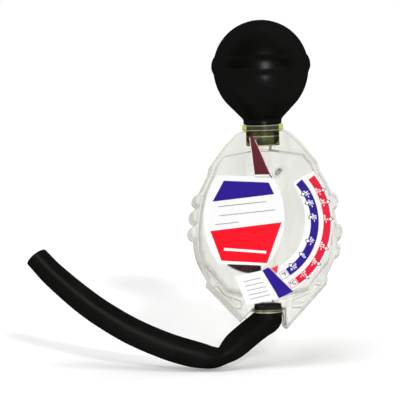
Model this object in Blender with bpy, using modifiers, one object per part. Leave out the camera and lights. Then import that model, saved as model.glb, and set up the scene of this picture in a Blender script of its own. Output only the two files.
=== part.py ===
"""Dial-type antifreeze tester: clear welded body, squeeze bulb, suction hose and swinging float.

The body stands upright with its dial facing -Y. The origin lies on the flat back of the body, on
the line through its neck and its hose socket. All lengths are in metres.
"""

import math

import bmesh
import bpy
from mathutils import Matrix, Vector

# Clearances and construction
GAP = 0.0003
ADHESIVE = 0.0001
OVERRUN = 0.001
MERGE = 0.00001
ROUND_STEPS = 40
SMALL_ROUND_STEPS = 20

# Clear body
BODY_DEPTH = 0.024
BODY_TOP = 0.0467
BODY_BOTTOM = 0.0527
BODY_HALF_WIDTH = 0.0360
FACE_THICKNESS = 0.0025
WALL_THICKNESS = 0.0026
EDGE_ROUNDING = 0.0006
upper_flank_shares = [
    (0.356, 0.976), (0.537, 0.835), (0.746, 0.630), (0.774, 0.540),
    (0.864, 0.415), (0.915, 0.321), (0.966, 0.120),
]
lower_flank_shares = [
    (1.000, 0.066), (0.997, 0.228), (0.960, 0.351), (0.921, 0.408), (0.864, 0.484), (0.825, 0.535),
]
wing_corner_shares = (0.847, 0.584)
chin_corner_shares = (0.282, 1.000)

# Grip beads on the two edges: place as a share of the body's top, and size as a share
BEAD_HALF_HEIGHT = 0.0038
BEAD_PROUD = 0.0030
bead_arc_shares = (-1.0, -0.92, -0.7, -0.38, 0.0, 0.38, 0.7, 0.92, 1.0)
right_bead_shares = [(0.220, 1.00), (-0.126, 0.90), (-0.330, 0.72)]
left_bead_shares = [(0.265, 0.90), (0.092, 1.00), (-0.092, 1.00)]

# Chamber
NECK_FLOOR = 0.0027
CHIN_HEIGHT = 0.0147
chamber_floor_shares = [(0.860, 0.390), (0.666, 0.550), (0.565, 0.645)]
pocket_foot_shares = (0.310, 0.716)
POCKET_DEPTH = 0.0050
POCKET_WALL = 0.0016

# Welding rib on the back half, in a groove of the front half
RIB_INSET = 0.0009
RIB_WIDTH = 0.0008
RIB_HEIGHT = 0.0012

# Bulb, with its plug and collar
BULB_RADIUS = 0.0240
BULB_BELLY_DEPTH = 0.0259
BULB_WALL = 0.0026
BULB_CONE_START = math.radians(46.2)
RIDGE_PROUD = 0.0010
RIDGE_RAISE = 0.0010
RIDGE_RISE = 0.0051
RIDGE_FALL = 0.0040
# Soft moulding ridge: height as a share of its rise or fall, and how proud it stands there
ridge_shares = [
    (1.0, 0.0), (0.86, 0.42), (0.50, 0.86), (0.0, 1.0), (-0.42, 0.76), (-0.75, 0.28), (-1.0, 0.0),
]
BULB_NECK_RADIUS = 0.00965
BULB_NECK_HEIGHT = 0.0024
BULB_NECK_FILLET = 0.0008
PLUG_RADIUS = 0.00815
PLUG_LENGTH = 0.0105
PLUG_BORE_RADIUS = 0.0033
PLUG_GROOVE_DEPTH = 0.0006
PLUG_GROOVE_WIDTH = 0.0007
plug_groove_shares = (0.33, 0.56)
COLLAR_RADIUS = 0.0104
COLLAR_HEIGHT = 0.0028
COLLAR_ROUNDING = 0.0005
NECK_PASSAGE_RADIUS = 0.0045

# Hose, with its socket and collar
HOSE_RADIUS = 0.0067
HOSE_BORE_RADIUS = 0.0033
HOSE_SOCKET_DEPTH = 0.0028
SOCKET_MOUTH_HEIGHT = 0.0087
HOSE_COLLAR_WALL = 0.0014
HOSE_COLLAR_HEIGHT = 0.0016
HOSE_COLLAR_SEAT = 0.0004
HOSE_PASSAGE_RADIUS = 0.0033
RELIEF_LEFT = 0.0185
RELIEF_MARGIN = 0.0008
HOSE_POINTS = 36
# The hose's line, from the middle of the socket's mouth
HOSE_ROUTE = [
    (0.0000, 0.0000, -0.0023), (-0.0009, 0.0000, -0.0050), (-0.0045, 0.0000, -0.0083),
    (-0.0099, -0.0001, -0.0125), (-0.0158, -0.0003, -0.0173), (-0.0216, -0.0006, -0.0219),
    (-0.0283, -0.0010, -0.0244), (-0.0354, -0.0014, -0.0233), (-0.0429, -0.0018, -0.0213),
    (-0.0504, -0.0021, -0.0188), (-0.0582, -0.0024, -0.0156), (-0.0658, -0.0026, -0.0121),
    (-0.0735, -0.0027, -0.0080), (-0.0813, -0.0028, -0.0031), (-0.0889, -0.0028, 0.0021),
    (-0.0969, -0.0028, 0.0085), (-0.1045, -0.0027, 0.0152), (-0.1111, -0.0026, 0.0215),
    (-0.1156, -0.0025, 0.0266), (-0.1178, -0.0025, 0.0291),
]

# Pivot, which is also the middle of the dial, and stops, whose radii and angles are taken from it
PIVOT_X = -0.0045
PIVOT_Z = 0.0015
PIN_RADIUS = 0.0010
PIN_ANCHOR = 0.0045
BOSS_RADIUS = 0.0032
STOP_PIN_RADIUS = 0.0012
STOP_PIN_SWING_RADIUS = 0.0269
STOP_PIN_ANGLE = math.radians(63.9)
STOP_BOSS_RADIUS = 0.0025
STOP_BOSS_HEIGHT = 0.0030
REST_PEG_RADIUS = 0.0014
REST_PEG_SWING_RADIUS = 0.0215

# Float, pointer tip and balance weight; angles run anticlockwise from the right, seen from the front
FLOAT_THICKNESS = 0.0030
HUB_RADIUS = 0.0042
HUB_THICKNESS = 0.0066
LOBE_RADIUS = 0.0275
WEB_RADIUS = 0.0195
LOBE_START = math.radians(235.5)
LOBE_END = math.radians(273.5)
POINTER_ANGLE = math.radians(289.0)
POINTER_HALF_WIDTH = 0.0021
POINTER_NECK_RADIUS = 0.0252
TIP_RADIUS = 0.0291
WEIGHT_RADIUS = 0.0032
WEIGHT_SWING_RADIUS = 0.0068
WEIGHT_ANGLE = math.radians(345.5)
WEIGHT_RIM = 0.0013

# Labels on the front face; their corners are shares of the size named beside them
LABEL_THICKNESS = 0.0002
TITLE_X = -0.0100
TITLE_Z = 0.0025
TITLE_HEIGHT = 0.0446
TITLE_TOP_HALF_WIDTH = 0.0142
TITLE_BOTTOM_HALF_WIDTH = 0.0126
TITLE_BULGE = 0.0070
TITLE_TILT = math.radians(-3.5)
SCALE_OUTER_RADIUS = 0.0389
SCALE_WIDTH = 0.0138
SCALE_FLARE = 0.0016
SCALE_FOOT = math.radians(-61.5)
SCALE_FOOT_WIDTH = 0.0103
SCALE_HEAD = math.radians(40.0)
SCALE_FLAG_ANGLE = math.radians(45.0)
STRIP_HEAD_X = 0.0017
STRIP_CLEARANCE = 0.0008
STRIP_LENGTH = 0.0173
STRIP_TILT = math.radians(-46.2)
STRIP_HEAD_WIDTH = 0.0035
STRIP_FOOT_WIDTH = 0.0078
STRIP_END_TILT = math.radians(204.5)
INFO_HEAD_WIDTH = 0.0138
INFO_FOOT_WIDTH = 0.0166
INFO_END_TILT = math.radians(191.5)
LEVEL_HEADROOM = 0.0012
LEVEL_CLEARANCE = 0.0004
LEVEL_WIDTH = 0.0080
LEVEL_LEFT = -0.0040
LEVEL_LEAN = -0.0018

MID_Y = -BODY_DEPTH / 2
FRONT_Y = -BODY_DEPTH
SEAM_FRONT = MID_Y - GAP / 2
SEAM_BACK = MID_Y + GAP / 2
LABEL_BACK_Y = FRONT_Y - ADHESIVE
PLUG_TOP_Z = BODY_TOP + GAP + COLLAR_HEIGHT + GAP
NECK_SEAT_Z = PLUG_TOP_Z - PLUG_LENGTH - GAP
CHAMBER_TOP = NECK_SEAT_Z - NECK_FLOOR
CHAMBER_BOTTOM = BODY_BOTTOM - CHIN_HEIGHT
BULB_CONE_RADIUS = BULB_RADIUS * math.cos(BULB_CONE_START)
BULB_CONE_SLOPE = math.tan(BULB_CONE_START) * BULB_RADIUS / BULB_BELLY_DEPTH
BULB_CONE_HEIGHT = (BULB_CONE_RADIUS - BULB_NECK_RADIUS) / BULB_CONE_SLOPE
BULB_DROP = BULB_BELLY_DEPTH * math.sin(BULB_CONE_START)
BULB_CENTRE_Z = PLUG_TOP_Z + BULB_NECK_HEIGHT + BULB_CONE_HEIGHT + BULB_DROP
SOCKET_MOUTH_Z = SOCKET_MOUTH_HEIGHT - BODY_BOTTOM
HOSE_SEAT_Z = SOCKET_MOUTH_Z + HOSE_SOCKET_DEPTH
HOSE_COLLAR_RADIUS = HOSE_RADIUS + HOSE_COLLAR_WALL
CHIN_THICKNESS = BODY_DEPTH / 2 - HOSE_RADIUS - GAP
RELIEF_RIGHT = HOSE_COLLAR_RADIUS + RELIEF_MARGIN
SCALE_INNER_RADIUS = SCALE_OUTER_RADIUS - SCALE_WIDTH
SCALE_FOOT_RADIUS = SCALE_OUTER_RADIUS - SCALE_FOOT_WIDTH
LEVEL_TOP = BODY_TOP - LEVEL_HEADROOM


# Scene and materials

def clear_scene():
    for obj in list(bpy.data.objects):
        bpy.data.objects.remove(obj, do_unlink=True)


def make_collection(name):
    collection = bpy.data.collections.new(name)
    bpy.context.scene.collection.children.link(collection)
    return collection


def make_material(name, colour, roughness, metallic=0.0, transmission=0.0):
    material = bpy.data.materials.new(name)
    material.use_nodes = True
    shader = material.node_tree.nodes["Principled BSDF"]
    shader.inputs["Base Color"].default_value = (*colour, 1.0)
    shader.inputs["Roughness"].default_value = roughness
    shader.inputs["Metallic"].default_value = metallic
    shader.inputs["Transmission Weight"].default_value = transmission
    material.diffuse_color = (*colour, 1.0)
    return material


def make_empty(name, location, collection):
    empty = bpy.data.objects.new(name, None)
    empty.location = location
    collection.objects.link(empty)
    return empty


def link_mesh(name, mesh, location, collection, material=None):
    obj = bpy.data.objects.new(name, mesh)
    obj.location = location
    collection.objects.link(obj)
    if material:
        mesh.materials.append(material)
    return obj


def mark_cutter(obj):
    obj.hide_render = True
    obj.display_type = "WIRE"
    return obj


def shade(obj, angle=math.radians(32)):
    obj.data.shade_smooth()
    obj.data.set_sharp_from_angle(angle=angle)


# Shapes

def plate_mesh(name, loops, thickness):
    """Closed flat plate in the XZ plane, centred on y = 0; loops after the first are holes."""
    curve = bpy.data.curves.new(name, "CURVE")
    curve.dimensions = "2D"
    curve.fill_mode = "BOTH"
    curve.extrude = thickness / 2
    for loop in loops:
        spline = curve.splines.new("POLY")
        spline.points.add(len(loop) - 1)
        for point, (x, z) in zip(spline.points, loop):
            point.co = (x, z, 0.0, 1.0)
        spline.use_cyclic_u = True
    source = bpy.data.objects.new(name, curve)
    bpy.context.scene.collection.objects.link(source)
    bpy.context.view_layer.update()
    evaluated = source.evaluated_get(bpy.context.evaluated_depsgraph_get())
    mesh = bpy.data.meshes.new_from_object(evaluated)
    bpy.data.objects.remove(source, do_unlink=True)
    form = bmesh.new()
    form.from_mesh(mesh)
    bmesh.ops.remove_doubles(form, verts=form.verts, dist=MERGE)
    bmesh.ops.rotate(form, verts=form.verts, matrix=Matrix.Rotation(math.radians(90), 3, "X"))
    bmesh.ops.recalc_face_normals(form, faces=form.faces)
    form.to_mesh(mesh)
    form.free()
    return mesh


def merge_caps(form):
    """Turns the triangles of the two flat caps into one face each."""
    for side in (-1, 1):
        cap = [face for face in form.faces if face.normal.y * side > 0.99]
        if len(cap) > 1:
            bmesh.ops.dissolve_faces(form, faces=cap)


def add_plate(name, loops, y_front, y_back, collection, material=None, rounding=0.0,
              round_front=True):
    mesh = plate_mesh(name, loops, y_back - y_front)
    if rounding:
        form = bmesh.new()
        form.from_mesh(mesh)
        merge_caps(form)
        side = -1 if round_front else 1
        rim = [
            edge for edge in form.edges
            if any(face.normal.y * side > 0.99 for face in edge.link_faces)
            and any(abs(face.normal.y) < 0.5 for face in edge.link_faces)
        ]
        bmesh.ops.bevel(
            form, geom=rim, offset=rounding, offset_type="OFFSET", segments=2, profile=0.5,
            affect="EDGES", clamp_overlap=True, material=-1,
        )
        form.to_mesh(mesh)
        form.free()
    return link_mesh(name, mesh, (0.0, (y_front + y_back) / 2, 0.0), collection, material)


def add_turned(name, profile, location, collection, material=None, closed=False, steps=ROUND_STEPS):
    """Revolves a profile of (radius, height) points, which runs down its outer side, about Z."""
    mesh = bpy.data.meshes.new(name)
    form = bmesh.new()
    rows = [form.verts.new((radius, 0.0, height)) for radius, height in profile]
    for first, second in zip(rows, rows[1:]):
        form.edges.new((first, second))
    if closed:
        form.edges.new((rows[-1], rows[0]))
    form.to_mesh(mesh)
    form.free()
    obj = link_mesh(name, mesh, location, collection, material)
    screw = obj.modifiers.new("Turn", "SCREW")
    screw.axis = "Z"
    screw.steps = steps
    screw.render_steps = steps
    screw.use_merge_vertices = True
    screw.merge_threshold = MERGE
    screw.use_smooth_shade = True
    return obj


def add_rod(name, radius, y_front, y_back, x, z, collection, material=None, steps=SMALL_ROUND_STEPS):
    """Round rod that runs from front to back."""
    mesh = bpy.data.meshes.new(name)
    form = bmesh.new()
    bmesh.ops.create_cone(
        form, cap_ends=True, segments=steps, radius1=radius, radius2=radius, depth=y_back - y_front,
    )
    bmesh.ops.rotate(form, verts=form.verts, matrix=Matrix.Rotation(math.radians(90), 3, "X"))
    form.to_mesh(mesh)
    form.free()
    obj = link_mesh(name, mesh, (x, (y_front + y_back) / 2, z), collection, material)
    shade(obj)
    return obj


def apply_boolean(obj, other, operation):
    boolean = obj.modifiers.new(f"{operation.title()} {other.name}", "BOOLEAN")
    boolean.solver = "EXACT"
    boolean.operation = operation
    boolean.object = other


# Outlines

def body_height(share, lower):
    return -share * BODY_BOTTOM if lower else share * BODY_TOP


def flank_table():
    """Half-widths of the body from its neck down to the notch above the wing."""
    table = [(COLLAR_RADIUS, BODY_TOP)]
    table += [(w * BODY_HALF_WIDTH, body_height(h, False)) for w, h in upper_flank_shares]
    table += [(w * BODY_HALF_WIDTH, body_height(h, True)) for w, h in lower_flank_shares]
    return table


def flank_at(height):
    """Half-width of the plain flank at a height, and how fast it changes there."""
    table = flank_table()
    for (x_high, z_high), (x_low, z_low) in zip(table, table[1:]):
        if height >= z_low:
            slope = (x_high - x_low) / (z_high - z_low)
            return x_low + slope * (height - z_low), slope
    return table[-1][0], 0.0


def flank_side(beads):
    """One edge of the body from the neck to the notch, with its grip beads."""
    heights = [z for _, z in flank_table()]
    spans = [(place * BODY_TOP, size) for place, size in beads]
    for centre, size in spans:
        heights += [centre + share * size * BEAD_HALF_HEIGHT for share in bead_arc_shares]
    side = []
    for height in sorted(heights, reverse=True):
        width = flank_at(height)[0]
        for centre, size in spans:
            reach = (height - centre) / (size * BEAD_HALF_HEIGHT)
            if abs(reach) < 1.0:
                width += size * BEAD_PROUD * math.sqrt(1.0 - reach * reach)
        side.append((width, height))
    return side


def wing_corner():
    return wing_corner_shares[0] * BODY_HALF_WIDTH, -wing_corner_shares[1] * BODY_BOTTOM


def chin_corner():
    return chin_corner_shares[0] * BODY_HALF_WIDTH, -chin_corner_shares[1] * BODY_BOTTOM


def body_outline():
    right = flank_side(right_bead_shares) + [wing_corner(), chin_corner()]
    left = flank_side(left_bead_shares) + [wing_corner(), chin_corner()]
    return right + [(-x, z) for x, z in reversed(left)]


def chamber_side():
    """Right wall of the chamber, from its top to its foot at the hose passage."""
    side = [(NECK_PASSAGE_RADIUS, CHAMBER_TOP)]
    floor = [(w * BODY_HALF_WIDTH, -h * BODY_BOTTOM) for w, h in chamber_floor_shares]
    shoulder = CHAMBER_TOP - WALL_THICKNESS
    heights = [shoulder] + [z for _, z in flank_table() if floor[0][1] < z < shoulder]
    for height in heights:
        width, slope = flank_at(height)
        side.append((width - WALL_THICKNESS * math.hypot(1.0, slope), height))
    return side + floor + [(HOSE_PASSAGE_RADIUS, -CHAMBER_BOTTOM)]


def chamber_outline(grow=0.0):
    side = chamber_side()
    return offset_loop(side + [(-x, z) for x, z in reversed(side)], grow)


def pocket_outline(mirror):
    """Recess in a wing, between the chamber's wall and the wing's rim."""
    floor = [(w * BODY_HALF_WIDTH, -h * BODY_BOTTOM) for w, h in chamber_floor_shares]
    foot = (pocket_foot_shares[0] * BODY_HALF_WIDTH, -pocket_foot_shares[1] * BODY_BOTTOM)
    corner = Vector(wing_corner())
    chin = Vector(chin_corner())
    end = corner.lerp(chin, (SOCKET_MOUTH_Z - corner.y) / (chin.y - corner.y))
    loop = [tuple(corner), tuple(end), (foot[0], SOCKET_MOUTH_Z), foot, floor[2], floor[1]]
    return [(mirror * x, z) for x, z in offset_loop(loop, -POCKET_WALL)]


def offset_loop(loop, distance):
    """Moves a clockwise loop outward by a distance, or inward by a negative one."""
    if distance == 0.0:
        return loop
    moved = []
    for index, point in enumerate(loop):
        here = Vector(point)
        before = (here - Vector(loop[index - 1])).normalized()
        after = (Vector(loop[(index + 1) % len(loop)]) - here).normalized()
        normal_before = Vector((-before.y, before.x))
        normal_after = Vector((-after.y, after.x))
        mitre = (normal_before + normal_after).normalized()
        moved.append(tuple(here + mitre * distance / mitre.dot(normal_after)))
    return moved


def polar(radius, angle):
    return radius * math.cos(angle), radius * math.sin(angle)


def arc(radius, start, end, steps):
    return [polar(radius, start + (end - start) * step / steps) for step in range(steps + 1)]


def from_pivot(radius, angle):
    """Point of the body at a radius and an angle about the float's pivot."""
    x, z = polar(radius, angle)
    return PIVOT_X + x, PIVOT_Z + z


# Body

def stop_pin_place():
    return from_pivot(STOP_PIN_SWING_RADIUS, STOP_PIN_ANGLE)


def rest_peg_place():
    lag = math.asin((REST_PEG_RADIUS + GAP) / REST_PEG_SWING_RADIUS)
    return from_pivot(REST_PEG_SWING_RADIUS, LOBE_START - lag)


def make_body(parts, cutters, clear):
    front = add_plate(
        "front_shell", [body_outline()], FRONT_Y, SEAM_FRONT, parts, clear, EDGE_ROUNDING, True)
    back = add_plate(
        "back_shell", [body_outline()], SEAM_BACK, 0.0, parts, clear, EDGE_ROUNDING, False)
    hub_front = MID_Y - HUB_THICKNESS / 2 - GAP
    hub_back = MID_Y + HUB_THICKNESS / 2 + GAP
    face_front = FRONT_Y + FACE_THICKNESS
    face_back = -FACE_THICKNESS

    front_hollow = mark_cutter(add_plate(
        "front_chamber_cutter", [chamber_outline()], face_front, SEAM_FRONT + OVERRUN, cutters))
    back_hollow = mark_cutter(add_plate(
        "back_chamber_cutter", [chamber_outline()], SEAM_BACK - OVERRUN, face_back, cutters))
    apply_boolean(front, front_hollow, "DIFFERENCE")
    apply_boolean(back, back_hollow, "DIFFERENCE")

    rib = mark_cutter(add_plate(
        "welding_rib_form",
        [chamber_outline(RIB_INSET + RIB_WIDTH), chamber_outline(RIB_INSET)],
        SEAM_BACK - RIB_HEIGHT, SEAM_BACK + OVERRUN, cutters))
    groove = mark_cutter(add_plate(
        "welding_groove_cutter",
        [chamber_outline(RIB_INSET + RIB_WIDTH + GAP), chamber_outline(RIB_INSET - GAP)],
        SEAM_BACK - RIB_HEIGHT - GAP, SEAM_FRONT + OVERRUN, cutters))
    apply_boolean(back, rib, "UNION")
    apply_boolean(front, groove, "DIFFERENCE")

    pin_x, pin_z = stop_pin_place()
    bosses = [
        (front, "front_pivot_boss_form", BOSS_RADIUS,
         face_front - OVERRUN, hub_front, PIVOT_X, PIVOT_Z),
        (back, "back_pivot_boss_form", BOSS_RADIUS,
         hub_back, face_back + OVERRUN, PIVOT_X, PIVOT_Z),
        (front, "front_stop_boss_form", STOP_BOSS_RADIUS,
         face_front - OVERRUN, face_front + STOP_BOSS_HEIGHT, pin_x, pin_z),
        (back, "back_stop_boss_form", STOP_BOSS_RADIUS,
         face_back - STOP_BOSS_HEIGHT, face_back + OVERRUN, pin_x, pin_z),
        (back, "rest_peg_form", REST_PEG_RADIUS,
         MID_Y - FLOAT_THICKNESS / 2, face_back + OVERRUN, *rest_peg_place()),
    ]
    for shell, name, radius, y_front, y_back, x, z in bosses:
        form = mark_cutter(add_rod(name, radius, y_front, y_back, x, z, cutters))
        apply_boolean(shell, form, "UNION")

    holes = [
        (front, "front_pivot_hole_cutter", PIN_RADIUS,
         hub_front - PIN_ANCHOR, hub_front + OVERRUN, PIVOT_X, PIVOT_Z),
        (back, "back_pivot_hole_cutter", PIN_RADIUS,
         hub_back - OVERRUN, hub_back + PIN_ANCHOR, PIVOT_X, PIVOT_Z),
        (front, "front_stop_hole_cutter", STOP_PIN_RADIUS,
         face_front, face_front + STOP_BOSS_HEIGHT + OVERRUN, pin_x, pin_z),
        (back, "back_stop_hole_cutter", STOP_PIN_RADIUS,
         face_back - STOP_BOSS_HEIGHT - OVERRUN, face_back, pin_x, pin_z),
    ]
    for shell, name, radius, y_front, y_back, x, z in holes:
        cutter = mark_cutter(add_rod(name, radius + GAP, y_front, y_back, x, z, cutters))
        apply_boolean(shell, cutter, "DIFFERENCE")

    neck_bore = mark_cutter(add_turned(
        "neck_bore_cutter",
        [(0.0, BODY_TOP + OVERRUN), (PLUG_RADIUS + GAP, BODY_TOP + OVERRUN),
         (PLUG_RADIUS + GAP, NECK_SEAT_Z), (NECK_PASSAGE_RADIUS, NECK_SEAT_Z),
         (NECK_PASSAGE_RADIUS, CHAMBER_TOP - OVERRUN), (0.0, CHAMBER_TOP - OVERRUN)],
        (0.0, MID_Y, 0.0), cutters))
    hose_bore = mark_cutter(add_turned(
        "hose_bore_cutter",
        [(0.0, OVERRUN - CHAMBER_BOTTOM), (HOSE_PASSAGE_RADIUS, OVERRUN - CHAMBER_BOTTOM),
         (HOSE_PASSAGE_RADIUS, HOSE_SEAT_Z), (HOSE_RADIUS + GAP, HOSE_SEAT_Z),
         (HOSE_RADIUS + GAP, SOCKET_MOUTH_Z + HOSE_COLLAR_SEAT),
         (HOSE_COLLAR_RADIUS + GAP, SOCKET_MOUTH_Z + HOSE_COLLAR_SEAT),
         (HOSE_COLLAR_RADIUS + GAP, -BODY_BOTTOM - OVERRUN), (0.0, -BODY_BOTTOM - OVERRUN)],
        (0.0, MID_Y, 0.0), cutters))
    relief_foot = -BODY_BOTTOM - OVERRUN
    relief_outline = [
        (RELIEF_RIGHT, SOCKET_MOUTH_Z), (RELIEF_RIGHT, relief_foot),
        (-RELIEF_LEFT, relief_foot), (-HOSE_COLLAR_RADIUS, SOCKET_MOUTH_Z),
    ]
    relief = mark_cutter(add_plate(
        "hose_relief_cutter", [relief_outline], FRONT_Y - OVERRUN, -CHIN_THICKNESS, cutters))
    for shell in (front, back):
        apply_boolean(shell, neck_bore, "DIFFERENCE")
        apply_boolean(shell, hose_bore, "DIFFERENCE")
        apply_boolean(shell, relief, "DIFFERENCE")

    for mirror, side in ((1, "right"), (-1, "left")):
        pocket = [pocket_outline(mirror)]
        front_pocket = mark_cutter(add_plate(
            f"front_{side}_pocket_cutter", pocket, FRONT_Y - OVERRUN, FRONT_Y + POCKET_DEPTH, cutters))
        back_pocket = mark_cutter(add_plate(
            f"back_{side}_pocket_cutter", pocket, -POCKET_DEPTH, OVERRUN, cutters))
        apply_boolean(front, front_pocket, "DIFFERENCE")
        apply_boolean(back, back_pocket, "DIFFERENCE")
    shade(front)
    shade(back)
    return [front, back]


def make_pins(parts, steel):
    hub_front = MID_Y - HUB_THICKNESS / 2 - GAP
    hub_back = MID_Y + HUB_THICKNESS / 2 + GAP
    pivot = add_rod(
        "pivot_pin", PIN_RADIUS, hub_front - PIN_ANCHOR + GAP, hub_back + PIN_ANCHOR - GAP,
        PIVOT_X, PIVOT_Z, parts, steel)
    pin_x, pin_z = stop_pin_place()
    stop = add_rod(
        "stop_pin", STOP_PIN_RADIUS, FRONT_Y + FACE_THICKNESS + GAP, -FACE_THICKNESS - GAP,
        pin_x, pin_z, parts, steel)
    return [pivot, stop]


# Bulb and hose

def belly_depth(height):
    """Half-height of the bulb's round on this side of its equator: the lower half is deeper."""
    return BULB_RADIUS if height > 0.0 else BULB_BELLY_DEPTH


def bulb_arc(wall, start, end, steps):
    """Points of the bulb's round, a wall's thickness inside it, by angle above its equator."""
    angles = [start + (end - start) * step / steps for step in range(steps + 1)]
    return [
        ((BULB_RADIUS - wall) * math.cos(angle),
         BULB_CENTRE_Z + (belly_depth(angle) - wall) * math.sin(angle))
        for angle in angles
    ]


def ridge_profile():
    """Soft ridge round the bulb, laid on its round."""
    profile = []
    for share, swell in ridge_shares:
        height = RIDGE_RAISE + share * (RIDGE_RISE if share > 0.0 else RIDGE_FALL)
        width = BULB_RADIUS * math.sqrt(1.0 - (height / belly_depth(height)) ** 2)
        profile.append((width + swell * RIDGE_PROUD, BULB_CENTRE_Z + height))
    return profile


def bulb_profile():
    crown_foot = math.asin((RIDGE_RAISE + RIDGE_RISE) / BULB_RADIUS)
    belly_head = math.asin((RIDGE_RAISE - RIDGE_FALL) / BULB_BELLY_DEPTH)
    crown = bulb_arc(0.0, math.pi / 2, crown_foot, 9)[:-1]
    crown[0] = (0.0, BULB_CENTRE_Z + BULB_RADIUS)
    belly = bulb_arc(0.0, belly_head, -BULB_CONE_START, 5)[1:]
    neck_z = belly[-1][1] - BULB_CONE_HEIGHT
    neck = [
        (BULB_NECK_RADIUS + BULB_NECK_FILLET, neck_z + BULB_NECK_FILLET / BULB_CONE_SLOPE),
        (BULB_NECK_RADIUS, neck_z - BULB_NECK_FILLET / 2),
        (BULB_NECK_RADIUS, PLUG_TOP_Z),
    ]
    plug = [(PLUG_RADIUS, PLUG_TOP_Z)]
    for share in plug_groove_shares:
        middle = PLUG_TOP_Z - share * PLUG_LENGTH
        plug += [
            (PLUG_RADIUS, middle + PLUG_GROOVE_WIDTH),
            (PLUG_RADIUS - PLUG_GROOVE_DEPTH, middle),
            (PLUG_RADIUS, middle - PLUG_GROOVE_WIDTH),
        ]
    foot_z = PLUG_TOP_Z - PLUG_LENGTH
    plug += [
        (PLUG_RADIUS, foot_z + BULB_NECK_FILLET * 2),
        (PLUG_RADIUS - BULB_NECK_FILLET, foot_z + BULB_NECK_FILLET / 2),
        (PLUG_RADIUS - BULB_NECK_FILLET * 2, foot_z),
        (PLUG_BORE_RADIUS, foot_z),
    ]
    inner = bulb_arc(BULB_WALL, -BULB_CONE_START, math.pi / 2, 9)
    inner[-1] = (0.0, BULB_CENTRE_Z + BULB_RADIUS - BULB_WALL)
    bore_z = inner[0][1] - (inner[0][0] - PLUG_BORE_RADIUS) / BULB_CONE_SLOPE
    return crown + ridge_profile() + belly + neck + plug + [(PLUG_BORE_RADIUS, bore_z)] + inner


def ring_profile(inner, outer, low, high, rounding):
    return [
        (outer - rounding, high), (outer, high - rounding),
        (outer, low + rounding), (outer - rounding, low),
        (inner, low), (inner, high),
    ]


def make_bulb(parts, rubber, seal):
    axis = (0.0, MID_Y, 0.0)
    bulb = add_turned("squeeze_bulb", bulb_profile(), axis, parts, rubber)
    collar_low = BODY_TOP + GAP
    profile = ring_profile(
        PLUG_RADIUS + GAP, COLLAR_RADIUS, collar_low, collar_low + COLLAR_HEIGHT, COLLAR_ROUNDING)
    collar = add_turned("bulb_collar", profile, axis, parts, seal, closed=True)
    return [bulb, collar]


def smooth_route(knots, count):
    """Evenly spaced points on a smooth curve through the knots."""
    padded = [knots[0] * 2 - knots[1]] + knots + [knots[-1] * 2 - knots[-2]]
    dense = []
    for a, b, c, d in zip(padded, padded[1:], padded[2:], padded[3:]):
        for step in range(12):
            t = step / 12
            dense.append(0.5 * (
                2 * b + (c - a) * t + (2 * a - 5 * b + 4 * c - d) * t * t
                + (3 * b - a - 3 * c + d) * t * t * t))
    dense.append(knots[-1])
    lengths = [0.0]
    for first, second in zip(dense, dense[1:]):
        lengths.append(lengths[-1] + (second - first).length)
    even = []
    index = 0
    for step in range(count):
        goal = lengths[-1] * step / (count - 1)
        while index < len(dense) - 2 and lengths[index + 1] < goal:
            index += 1
        share = (goal - lengths[index]) / (lengths[index + 1] - lengths[index])
        even.append(dense[index].lerp(dense[index + 1], share))
    return even


def tube_mesh(name, points, radius):
    curve = bpy.data.curves.new(name, "CURVE")
    curve.dimensions = "3D"
    curve.bevel_depth = radius
    curve.bevel_resolution = 3
    curve.use_fill_caps = True
    spline = curve.splines.new("POLY")
    spline.points.add(len(points) - 1)
    for knot, point in zip(spline.points, points):
        knot.co = (*point, 1.0)
    spline.use_smooth = True
    source = bpy.data.objects.new(name, curve)
    bpy.context.scene.collection.objects.link(source)
    bpy.context.view_layer.update()
    evaluated = source.evaluated_get(bpy.context.evaluated_depsgraph_get())
    mesh = bpy.data.meshes.new_from_object(evaluated)
    bpy.data.objects.remove(source, do_unlink=True)
    form = bmesh.new()
    form.from_mesh(mesh)
    bmesh.ops.remove_doubles(form, verts=form.verts, dist=MERGE)
    bmesh.ops.recalc_face_normals(form, faces=form.faces)
    form.to_mesh(mesh)
    form.free()
    return mesh


def make_hose(parts, cutters, rubber, seal):
    collar_high = SOCKET_MOUTH_Z + HOSE_COLLAR_SEAT - GAP
    collar_low = collar_high - HOSE_COLLAR_HEIGHT
    start = Vector((0.0, MID_Y, HOSE_SEAT_Z - GAP))
    middle = Vector((0.0, MID_Y, collar_low))
    mouth = Vector((0.0, MID_Y, SOCKET_MOUTH_Z))
    route = [mouth + Vector(point) for point in HOSE_ROUTE]
    path = [start, middle] + smooth_route(route, HOSE_POINTS)
    hose = link_mesh(
        "suction_hose", tube_mesh("suction_hose", path, HOSE_RADIUS), (0.0, 0.0, 0.0), parts, rubber)
    first = path[0] + (path[0] - path[1]).normalized() * OVERRUN
    last = path[-1] + (path[-1] - path[-2]).normalized() * OVERRUN
    bore_path = [first] + path[1:-1] + [last]
    bore = link_mesh(
        "hose_inside_cutter", tube_mesh("hose_inside_cutter", bore_path, HOSE_BORE_RADIUS),
        (0.0, 0.0, 0.0), cutters)
    mark_cutter(bore)
    apply_boolean(hose, bore, "DIFFERENCE")
    shade(hose)
    profile = ring_profile(
        HOSE_RADIUS + GAP, HOSE_COLLAR_RADIUS, collar_low, collar_high, COLLAR_ROUNDING)
    collar = add_turned("hose_collar", profile, (0.0, MID_Y, 0.0), parts, seal, closed=True)
    return [hose, collar]


# Float

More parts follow.
